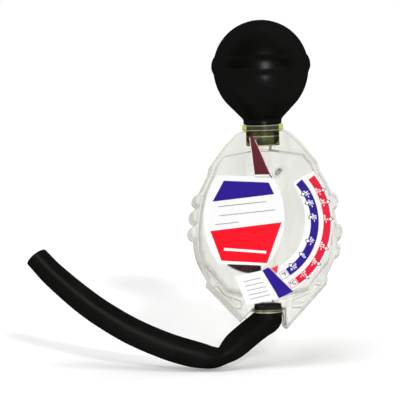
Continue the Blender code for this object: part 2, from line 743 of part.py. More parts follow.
def float_outline():
    """Lobe, web and pointer arm as one flat outline round the pivot."""
    lean = math.asin(POINTER_HALF_WIDTH / POINTER_NECK_RADIUS)
    web_lean = math.asin(POINTER_HALF_WIDTH / WEB_RADIUS)
    loop = arc(HUB_RADIUS, POINTER_ANGLE + web_lean, LOBE_START + 2 * math.pi, 14)
    loop += arc(LOBE_RADIUS, LOBE_START, LOBE_END, 10)
    loop += arc(WEB_RADIUS, LOBE_END, POINTER_ANGLE - web_lean, 4)
    loop.append(polar(POINTER_NECK_RADIUS, POINTER_ANGLE - lean))
    loop.append(polar(POINTER_NECK_RADIUS, POINTER_ANGLE + lean))
    return loop


def make_float(parts, cutters, red, bright_red, brass, pivot):
    half = FLOAT_THICKNESS / 2
    swing = add_plate("swing_float", [float_outline()], -half, half, parts, red)
    weight_x, weight_z = polar(WEIGHT_SWING_RADIUS, WEIGHT_ANGLE)
    half_hub = HUB_THICKNESS / 2
    hub = mark_cutter(add_rod("hub_form", HUB_RADIUS, -half_hub, half_hub, 0.0, 0.0, cutters))
    half_ear = half_hub - GAP
    ear = mark_cutter(add_rod(
        "weight_ear_form", WEIGHT_RADIUS + GAP + WEIGHT_RIM, -half_ear, half_ear,
        weight_x, weight_z, cutters))
    hub_hole = mark_cutter(add_rod(
        "hub_hole_cutter", PIN_RADIUS + GAP, -half_hub - OVERRUN, half_hub + OVERRUN,
        0.0, 0.0, cutters))
    weight_hole = mark_cutter(add_rod(
        "weight_hole_cutter", WEIGHT_RADIUS + GAP, -half_hub - OVERRUN, half_hub + OVERRUN,
        weight_x, weight_z, cutters))
    apply_boolean(swing, hub, "UNION")
    apply_boolean(swing, ear, "UNION")
    apply_boolean(swing, hub_hole, "DIFFERENCE")
    apply_boolean(swing, weight_hole, "DIFFERENCE")
    shade(swing)
    for form in (hub, ear, hub_hole, weight_hole):
        form.parent = pivot

    base = POINTER_NECK_RADIUS + GAP
    tip_loop = [
        (base, POINTER_HALF_WIDTH), (base, -POINTER_HALF_WIDTH), (TIP_RADIUS, 0.0),
    ]
    turn = Matrix.Rotation(POINTER_ANGLE, 2)
    tip_loop = [tuple(turn @ Vector(point)) for point in tip_loop]
    tip = add_plate("pointer_tip", [tip_loop], -half, half, parts, bright_red)
    weight = add_rod(
        "balance_weight", WEIGHT_RADIUS, -half_hub, half_hub, weight_x, weight_z, parts, brass)
    for piece in (swing, tip, weight):
        piece.parent = pivot
    return [swing, tip, weight]


# Labels

def title_outline():
    """Barrel-shaped label: straight head and foot, bulging sides, turned by its tilt."""
    half = TITLE_HEIGHT / 2
    turn = Matrix.Rotation(TITLE_TILT, 2)
    side = []
    for step in range(13):
        height = half - TITLE_HEIGHT * step / 12
        share = (height + half) / TITLE_HEIGHT
        width = TITLE_BOTTOM_HALF_WIDTH + (TITLE_TOP_HALF_WIDTH - TITLE_BOTTOM_HALF_WIDTH) * share
        side.append((width + TITLE_BULGE * (1.0 - (height / half) ** 2), height))
    loop = side + [(-x, z) for x, z in reversed(side)]
    centre = Vector((TITLE_X, TITLE_Z))
    return [tuple(centre + turn @ Vector(point)) for point in loop]


def title_edge(x, half):
    """Height of the title's head at x, where half is half its height, or of its foot for minus half."""
    return TITLE_Z + (half + (x - TITLE_X) * math.sin(TITLE_TILT)) / math.cos(TITLE_TILT)


def strip_edge():
    """Head of the strip's long edge beside the scale, and the direction that the edge runs in."""
    head_z = title_edge(STRIP_HEAD_X, -TITLE_HEIGHT / 2) - STRIP_CLEARANCE
    return Vector((STRIP_HEAD_X, head_z)), Vector(polar(1.0, STRIP_TILT))


def scale_foot_corner(radius):
    """Point beside the strip's edge that lies on a circle about the pivot."""
    head, along = strip_edge()
    start = head + Vector((-along.y, along.x)) * GAP
    arm = start - Vector((PIVOT_X, PIVOT_Z))
    back = arm.dot(along)
    reach = math.sqrt(back * back - arm.length_squared + radius * radius) - back
    return tuple(start + along * reach)


def scale_outline():
    """Arc-shaped label whose foot is cut along the strip and whose head ends in a flag."""
    foot = scale_foot_corner(SCALE_OUTER_RADIUS)
    start = math.atan2(foot[1] - PIVOT_Z, foot[0] - PIVOT_X)
    outer = [
        from_pivot(SCALE_OUTER_RADIUS, start + (SCALE_HEAD - start) * step / 24)
        for step in range(25)
    ]
    flag = [from_pivot(SCALE_FOOT_RADIUS, SCALE_FLAG_ANGLE)]
    inner = []
    for step in range(19):
        angle = SCALE_HEAD + (SCALE_FOOT - SCALE_HEAD) * step / 18
        flare = SCALE_FLARE * max(0.0, angle / SCALE_HEAD)
        inner.append(from_pivot(SCALE_INNER_RADIUS + flare, angle))
    return outer + flag + inner + [scale_foot_corner(SCALE_FOOT_RADIUS)]


def strip_outline():
    head, along = strip_edge()
    end = Vector(polar(1.0, STRIP_END_TILT))
    foot = head + along * STRIP_LENGTH
    return [
        tuple(head), tuple(foot),
        tuple(foot + end * STRIP_FOOT_WIDTH), tuple(head + end * STRIP_HEAD_WIDTH),
    ]


def info_outline():
    head, foot, near_foot, near_head = [Vector(point) for point in strip_outline()]
    end = Vector(polar(1.0, INFO_END_TILT))
    near_head += end * GAP
    near_foot += end * GAP
    return [
        tuple(near_head), tuple(near_foot),
        tuple(near_foot + end * INFO_FOOT_WIDTH), tuple(near_head + end * INFO_HEAD_WIDTH),
    ]


def level_outline():
    """Wedge that stands on the title's head."""
    right = LEVEL_LEFT + LEVEL_WIDTH
    return [
        (LEVEL_LEFT + LEVEL_LEAN, LEVEL_TOP),
        (right, title_edge(right, TITLE_HEIGHT / 2) + LEVEL_CLEARANCE),
        (LEVEL_LEFT, title_edge(LEVEL_LEFT, TITLE_HEIGHT / 2) + LEVEL_CLEARANCE),
    ]


def make_labels(parts, white, blue, maroon):
    faces = [
        ("title_label", title_outline(), white),
        ("scale_label", scale_outline(), white),
        ("caption_strip", strip_outline(), blue),
        ("info_label", info_outline(), white),
        ("level_mark", level_outline(), maroon),
    ]
    return [
        add_plate(name, [outline], LABEL_BACK_Y - LABEL_THICKNESS, LABEL_BACK_Y, parts, material)
        for name, outline, material in faces
    ]


def main():
    clear_scene()
    parts = make_collection("antifreeze_tester")
    cutters = make_collection("antifreeze_tester_cutters")
    clear = make_material("Clear polystyrene", (0.86, 0.87, 0.83), 0.08, transmission=0.9)
    rubber = make_material("Black rubber", (0.010, 0.010, 0.008), 0.45)
    seal = make_material("Yellowed vinyl", (0.45, 0.48, 0.20), 0.35)
    red = make_material("Dark red polystyrene", (0.12, 0.012, 0.018), 0.25)
    bright_red = make_material("Bright red paint", (0.80, 0.02, 0.02), 0.35)
    steel = make_material("Steel", (0.45, 0.45, 0.43), 0.30, metallic=1.0)
    brass = make_material("Brass", (0.70, 0.50, 0.20), 0.30, metallic=1.0)
    white = make_material("White label", (0.88, 0.88, 0.88), 0.40)
    blue = make_material("Blue label", (0.045, 0.015, 0.29), 0.40)
    maroon = make_material("Maroon film", (0.12, 0.016, 0.024), 0.40)

    body = make_empty("tester_body", (0.0, 0.0, 0.0), parts)
    pivot = make_empty("float_pivot", (PIVOT_X, MID_Y, PIVOT_Z), parts)
    fixed = make_body(parts, cutters, clear)
    fixed += make_pins(parts, steel)
    fixed += make_bulb(parts, rubber, seal)
    fixed += make_hose(parts, cutters, rubber, seal)
    fixed += make_labels(parts, white, blue, maroon)
    make_float(parts, cutters, red, bright_red, brass, pivot)
    pivot.parent = body
    for piece in fixed:
        piece.parent = body
    bpy.context.view_layer.update()


main()
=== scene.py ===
"""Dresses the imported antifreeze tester: clear body, squeeze bulb, suction hose, float and dial."""

import math

import bmesh
import bpy
from bpy.props import (
    FloatProperty, FloatVectorProperty, IntProperty, PointerProperty, StringProperty)
from bpy.types import Operator, Panel, PropertyGroup
from mathutils import Matrix, Quaternion, Vector


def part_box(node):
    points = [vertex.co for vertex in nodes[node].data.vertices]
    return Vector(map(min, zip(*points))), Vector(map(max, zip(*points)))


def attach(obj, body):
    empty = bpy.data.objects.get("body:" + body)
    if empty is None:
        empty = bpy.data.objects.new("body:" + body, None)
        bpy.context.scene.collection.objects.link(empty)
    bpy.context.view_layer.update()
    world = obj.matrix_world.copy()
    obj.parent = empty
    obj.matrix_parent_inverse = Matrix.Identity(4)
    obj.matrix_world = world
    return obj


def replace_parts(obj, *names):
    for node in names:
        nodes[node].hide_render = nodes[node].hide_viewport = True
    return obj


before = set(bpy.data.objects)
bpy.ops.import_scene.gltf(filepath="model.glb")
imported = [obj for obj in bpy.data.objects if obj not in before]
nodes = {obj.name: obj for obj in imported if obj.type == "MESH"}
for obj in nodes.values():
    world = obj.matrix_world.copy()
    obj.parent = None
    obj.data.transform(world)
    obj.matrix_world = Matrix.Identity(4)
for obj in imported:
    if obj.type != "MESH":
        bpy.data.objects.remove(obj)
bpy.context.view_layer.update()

bl_info = {
    "name": "Antifreeze tester",
    "version": (1, 0, 0),
    "blender": (4, 5, 0),
    "location": "3D View > Sidebar > Tester",
    "description": "Builds the finishes, hose, bulb and printed dial of an antifreeze tester",
    "category": "Object",
}


def middle_of(node):
    """Middle of a CAD node's box."""
    low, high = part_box(node)
    return (low + high) / 2


# Lengths are in metres, but for those that per_mm takes
MILLIMETRE = 0.001
# Points of a new piece that are nearer than this become one
MERGE_DISTANCE = 0.000002
# Gap between the plug's shoulder and the collar that it sits on
SEAT_GAP = 0.0003

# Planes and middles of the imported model
LABEL_FACE_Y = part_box("title_label")[0].y
PLATE_BACK_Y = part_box("title_label")[1].y
BODY_MIDDLE_Y = (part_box("front_shell")[0].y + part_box("back_shell")[1].y) / 2
BULB_TOP_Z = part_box("squeeze_bulb")[1].z
PLUG_TOP_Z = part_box("bulb_collar")[1].z + SEAT_GAP
DIAL_MIDDLE = middle_of("pivot_pin")

# Sheets of ink on the labels: gap under the first, thickness, and rise to the next layer
INK_GAP = 0.00001
INK_THICKNESS = 0.00002
INK_STEP = 0.00004
FIELD_LAYER, LINE_LAYER, FIGURE_LAYER = range(3)

# Bands of the dial: inner and outer radius, then first and last angle in degrees
BLUE_BAND = (0.02804, 0.03197, -58.0, 41.0)
RED_BAND = (0.03434, 0.03800, -55.8, 37.0)
# Straight steps that draw the curve of a band
BAND_STEPS = 48
# Boxes round the unit signs: the same, then the width of their lines
BLUE_BOX = (0.02825, 0.0320, -58.6, -66.0, 0.00015)
RED_BOX = (0.0345, 0.0380, -56.4, -62.6, 0.00028)
# Unit signs: radius and angle of each
UNIT_SIGNS = [("°F", 0.0301, -62.2), ("°C", 0.0362, -59.6)]

# Each number of the dial, its angle and the angle of its tick
FAHRENHEIT_MARKS = [
    ("−34°", 27.3, 28.8), ("−30°", 17.4, 19.0), ("−20°", 3.3, 3.9),
    ("−10°", -19.8, -20.7), ("0°", -35.6, -35.8), ("+10°", -50.7, -51.8),
]
CELSIUS_MARKS = [
    ("−37°", 24.7, 24.0), ("−34°", 15.0, 14.4), ("−29°", 1.5, 1.1),
    ("−23°", -20.8, -21.6), ("−18°", -35.6, -34.5), ("−12°", -48.7, -47.9),
]
# Scales: marks, radius of the numbers, radius of the ticks, and the way off the band from there,
# 1 for outwards and -1 for inwards
SCALES = [
    (FAHRENHEIT_MARKS, 0.0300, BLUE_BAND[0], -1), (CELSIUS_MARKS, 0.0358, RED_BAND[1], 1),
]
# How far a tick's outline runs past its corners, as a share of the outline's width
TICK_MITRE = 1.4

# Colour fields of the large label, and the level film with its tail, as corners (x, z)
BLUE_FIELD = [(-0.0194, 0.0228), (0.0031, 0.0213), (0.00565, 0.0154), (-0.0254, 0.0124)]
RED_FIELD = [(-0.0270, -0.0024), (0.0090, 0.0012), (0.0010, -0.0192), (-0.0219, -0.0175)]
LEVEL_FILM = [
    (-0.0060, 0.0446), (-0.0059, 0.0453), (-0.0048, 0.0450), (-0.0030, 0.0432),
    (-0.0011, 0.0388), (0.00195, 0.0310), (0.0043, 0.0254), (-0.0041, 0.0254),
]
LEVEL_TAIL = [(0.0030, 0.0251), (0.0042, 0.0253), (0.0053, 0.0225), (0.0042, 0.0240)]

# Straight lines of print: start, end and width
WHITE_BARS = [
    ((-0.0204, -0.0117), (0.00075, -0.0137), 0.0013),
    ((-0.0039, 0.0249), (0.0042, 0.0246), 0.00096),
]
FILM_EDGES = [
    ((-0.00578, 0.0440), (-0.00392, 0.0255), 0.00034),
    ((-0.00325, 0.0430), (-0.00132, 0.0387), 0.00028),
    ((-0.00132, 0.0387), (0.00171, 0.0310), 0.00028),
    ((0.00171, 0.0310), (0.00403, 0.0255), 0.00028),
]
TITLE_RULES = [
    ((-0.0226, 0.0098), (0.0015, 0.0118), 0.00035),
    ((-0.0222, 0.0052), (0.0058, 0.0075), 0.00035),
    ((-0.0243, 0.0008), (-0.0125, 0.0018), 0.00035),
]
FILL_LINE = ((-0.0039, 0.0243), (0.0042, 0.0240), 0.0002)

# Small label: top and bottom of its two sides, where its lines are ruled down and across it,
# and how wide they are
INFO_LEFT = (Vector((-0.0134, -0.0252)), Vector((-0.0087, -0.0396)))
INFO_RIGHT = (Vector((-0.0030, -0.0231)), Vector((0.0047, -0.0367)))
INFO_SHARES = (0.24, 0.40, 0.56, 0.72, 0.86)
INFO_MARGINS = (0.10, 0.88)
INFO_RULE = 0.0003

# Middle line of the hose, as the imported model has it, from the end in the socket to the open end
HOSE_ROUTE = [
    (0.0000, -0.0120, -0.0415), (0.0000, -0.0120, -0.0455),
    (0.0000, -0.0120, -0.0463), (-0.0009, -0.0120, -0.0490), (-0.0045, -0.0120, -0.0523),
    (-0.0099, -0.0121, -0.0565), (-0.0158, -0.0123, -0.0613), (-0.0216, -0.0126, -0.0659),
    (-0.0283, -0.0130, -0.0684), (-0.0354, -0.0134, -0.0673), (-0.0429, -0.0138, -0.0653),
    (-0.0504, -0.0141, -0.0628), (-0.0582, -0.0144, -0.0596), (-0.0658, -0.0146, -0.0561),
    (-0.0735, -0.0147, -0.0520), (-0.0813, -0.0148, -0.0471), (-0.0889, -0.0148, -0.0419),
    (-0.0969, -0.0148, -0.0355), (-0.1045, -0.0147, -0.0288), (-0.1111, -0.0146, -0.0225),
    (-0.1156, -0.0145, -0.0174), (-0.1178, -0.0145, -0.0149),
]
# Width of the hose along its length: share of the length, and share of its diameter
HOSE_WIDTHS = [
    (0.00, 1.000), (0.06, 1.015), (0.35, 1.040), (0.60, 1.040), (0.78, 1.010), (0.90, 0.945),
    (1.00, 0.880),
]

# Share of its flattening that the kinked hose gains in width
KINK_SPREAD = 0.4
# Edges of the hose's cut ends are those that turn by more than this
LIP_ANGLE = math.radians(50)
# Points laid between two knots of a smooth line, before it is spaced evenly
SPLINE_STEPS = 16

# Soft moulding ridge of the bulb: height as a share of its rise or fall, and how proud it stands
RIDGE_SHARES = [
    (1.0, 0.0), (0.86, 0.42), (0.50, 0.86), (0.0, 1.0), (-0.42, 0.76), (-0.75, 0.28), (-1.0, 0.0),
]
# Points that draw the ridge's section
RIDGE_POINTS = 25
# Steps of the bulb's upper round, of its lower round, and of the plug's rounded foot
CROWN_STEPS = 26
BELLY_STEPS = 16
FOOT_STEPS = 6
# Grooves of the plug, as shares of its length from its top
PLUG_GROOVES = (0.33, 0.56)
# Middle point of the collar's rounded edges, as a share of their rounding
CORNER_SHARE = 0.3
# Distance of the painted highlights on the seal's rounded top and bottom edges from its top and its
# foot
HIGHLIGHT_INSET = 0.0002
# Rise of the chin web's sloped foot, as a share of its width
WEB_SLOPE = 0.7

# Lamp beside the camera: width, height, place and the point that it faces
STRIP_SIZE = (0.10, 1.10)
STRIP_PLACE = Vector((0.32, -1.25, 0.16))
STRIP_AIM = Vector((0.0, -0.012, 0.06))
# Half the width of the floor
FLOOR_REACH = 3.0
# A Wave texture runs through this many radians in a unit of length
WAVE_RADIANS = 20


# Node and colour helpers

def srgb(code):
    """Turns an sRGB hex colour into the linear values that shaders take."""
    channels = [int(code[i:i + 2], 16) / 255 for i in (0, 2, 4)]
    return tuple(
        value / 12.92 if value <= 0.04045 else ((value + 0.055) / 1.055) ** 2.4
        for value in channels)


def colour_of(code, share=1.0):
    """An sRGB hex colour with its alpha, made darker or paler by a share."""
    return (*[value * share for value in srgb(code)], 1.0)


def add_node(tree, kind, settings=(), inputs=()):
    """Adds a node, sets its settings, and fills its inputs with values or links.

    Inputs that share a name, as those of Mix and Math nodes do, are given by number."""
    node = tree.nodes.new(kind)
    for name, value in dict(settings).items():
        setattr(node, name, value)
    for socket, value in dict(inputs).items():
        if isinstance(value, bpy.types.NodeSocket):
            tree.links.new(value, node.inputs[socket])
        else:
            node.inputs[socket].default_value = value
    return node


def start_material(name):
    """An empty material, its tree and its output."""
    material = bpy.data.materials.new(name)
    material.use_nodes = True
    material.node_tree.nodes.clear()
    output = add_node(material.node_tree, "ShaderNodeOutputMaterial")
    return material, material.node_tree, output


def per_mm(feature):
    """Scale of a noise whose features are about as wide as this size in millimetres."""
    return 1.0 / (feature * MILLIMETRE)


def paint(obj, material):
    """Gives a CAD node's object its one material."""
    obj.data.materials.clear()
    obj.data.materials.append(material)


# Mesh helpers

def finish_mesh(name, form, material, body="housing", smooth_angle=35.0):
    """Turns a form into a piece that rides on a body."""
    bmesh.ops.remove_doubles(form, verts=form.verts, dist=MERGE_DISTANCE)
    bmesh.ops.recalc_face_normals(form, faces=form.faces)
    mesh = bpy.data.meshes.new(name)
    form.to_mesh(mesh)
    form.free()
    mesh.shade_smooth()
    mesh.set_sharp_from_angle(angle=math.radians(smooth_angle))
    mesh.materials.append(material)
    piece = bpy.data.objects.new(name, mesh)
    bpy.context.scene.collection.objects.link(piece)
    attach(piece, body)
    return piece


def smooth_line(knots, count):
    """Evenly spaced points on a smooth curve through the knots, and its length."""
    knots = [Vector(knot) for knot in knots]
    padded = [knots[0] * 2 - knots[1]] + knots + [knots[-1] * 2 - knots[-2]]
    dense = []
    for a, b, c, d in zip(padded, padded[1:], padded[2:], padded[3:]):
        for step in range(SPLINE_STEPS):
            t = step / SPLINE_STEPS
            dense.append(0.5 * (
                2 * b + (c - a) * t + (2 * a - 5 * b + 4 * c - d) * t * t
                + (3 * b - a - 3 * c + d) * t * t * t))
    dense.append(knots[-1])
    lengths = [0.0]
    for first, second in zip(dense, dense[1:]):
        lengths.append(lengths[-1] + (second - first).length)
    line = []
    index = 0
    for step in range(count):
        goal = lengths[-1] * step / (count - 1)
        while index < len(dense) - 2 and lengths[index + 1] < goal:
            index += 1
        share = (goal - lengths[index]) / (lengths[index + 1] - lengths[index])
        line.append(dense[index].lerp(dense[index + 1], share))
    return line, lengths[-1]


def between(table, share):
    """Value that a table of (share, value) rows gives at a share."""
    for (low, start), (high, end) in zip(table, table[1:]):
        if share <= high:
            return start + (end - start) * (share - low) / (high - low)
    return table[-1][1]


def add_spin(form, section, steps, closed=False):
    """Spins a section of (width, height) points round the upright axis of the body."""
    middle = Vector((0.0, BODY_MIDDLE_Y, 0.0))
    points = [form.verts.new(middle + Vector((width, 0.0, height))) for width, height in section]
    edges = [form.edges.new(pair) for pair in zip(points, points[1:])]
    if closed:
        edges.append(form.edges.new((points[-1], points[0])))
    bmesh.ops.spin(
        form, geom=points + edges, cent=middle, axis=(0.0, 0.0, 1.0), angle=math.tau,
        steps=steps, use_merge=True)


def foot_arc(radius, rounding, foot):
    """Rounded foot of the plug, from its side at this radius to its flat underside."""
    points = []
    for step in range(FOOT_STEPS + 1):
        angle = math.pi / (2 * FOOT_STEPS) * step
        points.append((
            radius - rounding * (1.0 - math.cos(angle)),
            foot + rounding * (1.0 - math.sin(angle))))
    return points


# Materials

def black_rubber(name, colour, roughness, shine, extruded=False):
    """Carbon-black rubber: nearly black, with a dusty bloom, a fine grain and a faint, even sheen.

    The sheen is a plain share of mirrored light, so that it doesn't flare at the rims. Extruded
    rubber has fine lines along it, laid by the piece's own attribute. The real grain is about
    0.1 mm, and it is drawn at 0.7 mm so that it shows."""
    material, tree, output = start_material(name)
    if extruded:
        point = add_node(tree, "ShaderNodeAttribute", {"attribute_name": "lay"}).outputs["Vector"]
    else:
        point = add_node(tree, "ShaderNodeTexCoord").outputs["Object"]
    bloom = add_node(tree, "ShaderNodeTexNoise", inputs={
        "Vector": point, "Scale": per_mm(14.0), "Detail": 3.0}).outputs["Fac"]
    dusty = add_node(tree, "ShaderNodeMapRange", inputs={
        "Value": bloom, "From Min": 0.45, "From Max": 0.8}).outputs["Result"]
    tone = add_node(tree, "ShaderNodeMix", {"data_type": "RGBA"}, {
        0: dusty, 6: colour_of(colour), 7: colour_of(colour, 1.8)}).outputs[2]
    dulled = add_node(tree, "ShaderNodeMapRange", inputs={
        "Value": bloom, "From Min": 0.35, "From Max": 0.75,
        "To Min": roughness - 0.04, "To Max": roughness + 0.08}).outputs["Result"]
    stretch = add_node(tree, "ShaderNodeMapping", inputs={
        "Vector": point, "Scale": (1.0, 1.0, 0.03 if extruded else 1.0)}).outputs["Vector"]
    grain = add_node(tree, "ShaderNodeTexNoise", inputs={
        "Vector": stretch, "Scale": per_mm(0.7), "Detail": 2.0}).outputs["Fac"]
    relief = add_node(tree, "ShaderNodeBump", inputs={
        "Height": grain, "Distance": 0.02 * MILLIMETRE, "Strength": 0.2}).outputs["Normal"]
    matte = add_node(tree, "ShaderNodeBsdfPrincipled", inputs={
        "Base Color": tone, "Roughness": dulled, "Normal": relief,
        "Specular IOR Level": 0.0}).outputs["BSDF"]
    sheen = add_node(tree, "ShaderNodeBsdfGlossy", inputs={
        "Color": (1.0, 1.0, 1.0, 1.0), "Roughness": dulled, "Normal": relief}).outputs["BSDF"]
    shader = add_node(tree, "ShaderNodeMixShader", inputs={0: shine, 1: matte, 2: sheen})
    tree.links.new(shader.outputs["Shader"], output.inputs["Surface"])
    return material


def clear_polystyrene(
        name, tint, edge_tint, shadow_tint, roughness, glassiness, wet_radius, wet_height):
    """Moulded crystal polystyrene: clear, with soft flow waves and drawn-out grey streaks.

    Light that skims an edge takes the edge tint, and its shadow has a tint of its own. Near the
    axis, above and below the chamber, the seals wet its bore, and it bends no light there. Solid
    polystyrene has an IOR of 1.59; its thin walls, seen face behind face, bend less."""
    material, tree, output = start_material(name)
    point = add_node(tree, "ShaderNodeTexCoord").outputs["Object"]
    flow = add_node(tree, "ShaderNodeTexNoise", inputs={
        "Vector": point, "Scale": per_mm(11.0), "Detail": 1.0, "Roughness": 0.4}).outputs["Fac"]
    waves = add_node(tree, "ShaderNodeBump", inputs={
        "Height": flow, "Distance": 0.25 * MILLIMETRE, "Strength": 0.25}).outputs["Normal"]
    drawn_out = add_node(tree, "ShaderNodeMapping", inputs={
        "Vector": point, "Scale": (1.0, 0.5, 0.3)}).outputs["Vector"]
    stream = add_node(tree, "ShaderNodeTexNoise", inputs={
        "Vector": drawn_out, "Scale": per_mm(7.0), "Detail": 2.0, "Distortion": 0.6}).outputs["Fac"]
    streak = add_node(tree, "ShaderNodeMapRange", inputs={
        "Value": stream, "From Min": 0.48, "From Max": 0.64}).outputs["Result"]
    tone = add_node(tree, "ShaderNodeMix", {"data_type": "RGBA"}, {
        0: streak, 6: colour_of(tint, 1.01), 7: colour_of(tint, 0.93)}).outputs[2]
    skim = add_node(tree, "ShaderNodeFresnel", inputs={"IOR": 1.45}).outputs["Fac"]
    edge = add_node(tree, "ShaderNodeMix", {"data_type": "RGBA"}, {
        0: skim, 6: tone, 7: colour_of(edge_tint)}).outputs[2]
    glass = add_node(tree, "ShaderNodeBsdfPrincipled", inputs={
        "Base Color": colour_of(tint, 0.94), "Roughness": roughness, "IOR": 1.3,
        "Transmission Weight": 1.0, "Coat Weight": 0.2, "Coat Roughness": 0.04, "Coat IOR": 1.5,
        "Normal": waves}).outputs["BSDF"]
    passing = add_node(tree, "ShaderNodeBsdfTransparent", inputs={"Color": edge}).outputs["BSDF"]
    centred = add_node(tree, "ShaderNodeMapping", inputs={
        "Vector": point, "Location": (0.0, -BODY_MIDDLE_Y, 0.0)}).outputs["Vector"]
    flat = add_node(tree, "ShaderNodeMapping", inputs={
        "Vector": centred, "Scale": (1.0, 1.0, 0.0)}).outputs["Vector"]
    reach = add_node(tree, "ShaderNodeVectorMath", {"operation": "LENGTH"}, {
        0: flat}).outputs["Value"]
    height = add_node(tree, "ShaderNodeMath", {"operation": "ABSOLUTE"}, {
        0: add_node(tree, "ShaderNodeSeparateXYZ", inputs={"Vector": point}).outputs["Z"],
        }).outputs[0]
    near = add_node(tree, "ShaderNodeMath", {"operation": "LESS_THAN"}, {
        0: reach, 1: wet_radius}).outputs[0]
    beyond = add_node(tree, "ShaderNodeMath", {"operation": "GREATER_THAN"}, {
        0: height, 1: wet_height}).outputs[0]
    wet = add_node(tree, "ShaderNodeMath", {"operation": "MULTIPLY"}, {
        0: near, 1: beyond}).outputs[0]
    bending = add_node(tree, "ShaderNodeMapRange", inputs={
        "Value": wet, "To Min": glassiness, "To Max": 0.0}).outputs["Result"]
    seen = add_node(tree, "ShaderNodeMixShader", inputs={
        0: bending, 1: passing, 2: glass}).outputs["Shader"]
    shading = add_node(tree, "ShaderNodeBsdfTransparent", inputs={
        "Color": colour_of(shadow_tint)}).outputs["BSDF"]
    ray = add_node(tree, "ShaderNodeLightPath")
    mixed = add_node(tree, "ShaderNodeMixShader", inputs={
        0: ray.outputs["Is Shadow Ray"], 1: seen, 2: shading}).outputs["Shader"]
    tree.links.new(mixed, output.inputs["Surface"])
    return material


def yellowed_vinyl(
        name, tint, colour, cloudiness, highlights=(), highlight_height=0.0, highlight_paleness=0.0):
    """Soft plasticised vinyl, gone yellow-green: see-through and cloudy in patches.

    Painted highlights make it milkier in bands, which are given by the heights of their middles."""
    material, tree, output = start_material(name)
    point = add_node(tree, "ShaderNodeTexCoord").outputs["Object"]
    cloud = add_node(tree, "ShaderNodeTexNoise", inputs={
        "Vector": point, "Scale": per_mm(4.0), "Detail": 2.0}).outputs["Fac"]
    body = add_node(tree, "ShaderNodeMapRange", inputs={
        "Value": cloud, "From Min": 0.3, "From Max": 0.7, "To Min": cloudiness * 0.6,
        "To Max": cloudiness * 1.4}).outputs["Result"]
    height = add_node(tree, "ShaderNodeSeparateXYZ", inputs={"Vector": point}).outputs["Z"]
    # Each band is a painted highlight, where the vinyl turns milkier
    for highlight in highlights:
        near = add_node(tree, "ShaderNodeMath", {"operation": "COMPARE"}, {
            0: height, 1: highlight, 2: highlight_height / 2}).outputs[0]
        body = add_node(tree, "ShaderNodeMath", {"operation": "MULTIPLY_ADD"}, {
            0: near, 1: highlight_paleness, 2: body}).outputs[0]
    tone = add_node(tree, "ShaderNodeMix", {"data_type": "RGBA"}, {
        0: cloud, 6: colour_of(colour), 7: colour_of(colour, 0.85)}).outputs[2]
    relief = add_node(tree, "ShaderNodeBump", inputs={
        "Height": cloud, "Distance": 0.05 * MILLIMETRE, "Strength": 0.3}).outputs["Normal"]
    soft = add_node(tree, "ShaderNodeBsdfPrincipled", inputs={
        "Base Color": tone, "Roughness": 0.3, "IOR": 1.5, "Normal": relief}).outputs["BSDF"]
    passing = add_node(tree, "ShaderNodeBsdfTransparent", inputs={
        "Color": colour_of(tint)}).outputs["BSDF"]
    mixed = add_node(tree, "ShaderNodeMixShader", inputs={
        0: body, 1: passing, 2: soft}).outputs["Shader"]
    tree.links.new(mixed, output.inputs["Surface"])
    return material


def moulded_polystyrene(name, colour, roughness):
    """Coloured moulded polystyrene: even colour, a faint cloud from the granules, a clean shine."""
    material, tree, output = start_material(name)
    point = add_node(tree, "ShaderNodeTexCoord").outputs["Object"]
    cloud = add_node(tree, "ShaderNodeTexNoise", inputs={
        "Vector": point, "Scale": per_mm(5.0), "Detail": 2.0}).outputs["Fac"]
    tone = add_node(tree, "ShaderNodeMix", {"data_type": "RGBA"}, {
        0: cloud, 6: colour_of(colour, 0.9), 7: colour_of(colour, 1.15)}).outputs[2]
    relief = add_node(tree, "ShaderNodeBump", inputs={
        "Height": cloud, "Distance": 0.05 * MILLIMETRE, "Strength": 0.3}).outputs["Normal"]
    shader = add_node(tree, "ShaderNodeBsdfPrincipled", inputs={
        "Base Color": tone, "Roughness": roughness, "IOR": 1.55, "Normal": relief})
    tree.links.new(shader.outputs["BSDF"], output.inputs["Surface"])
    return material


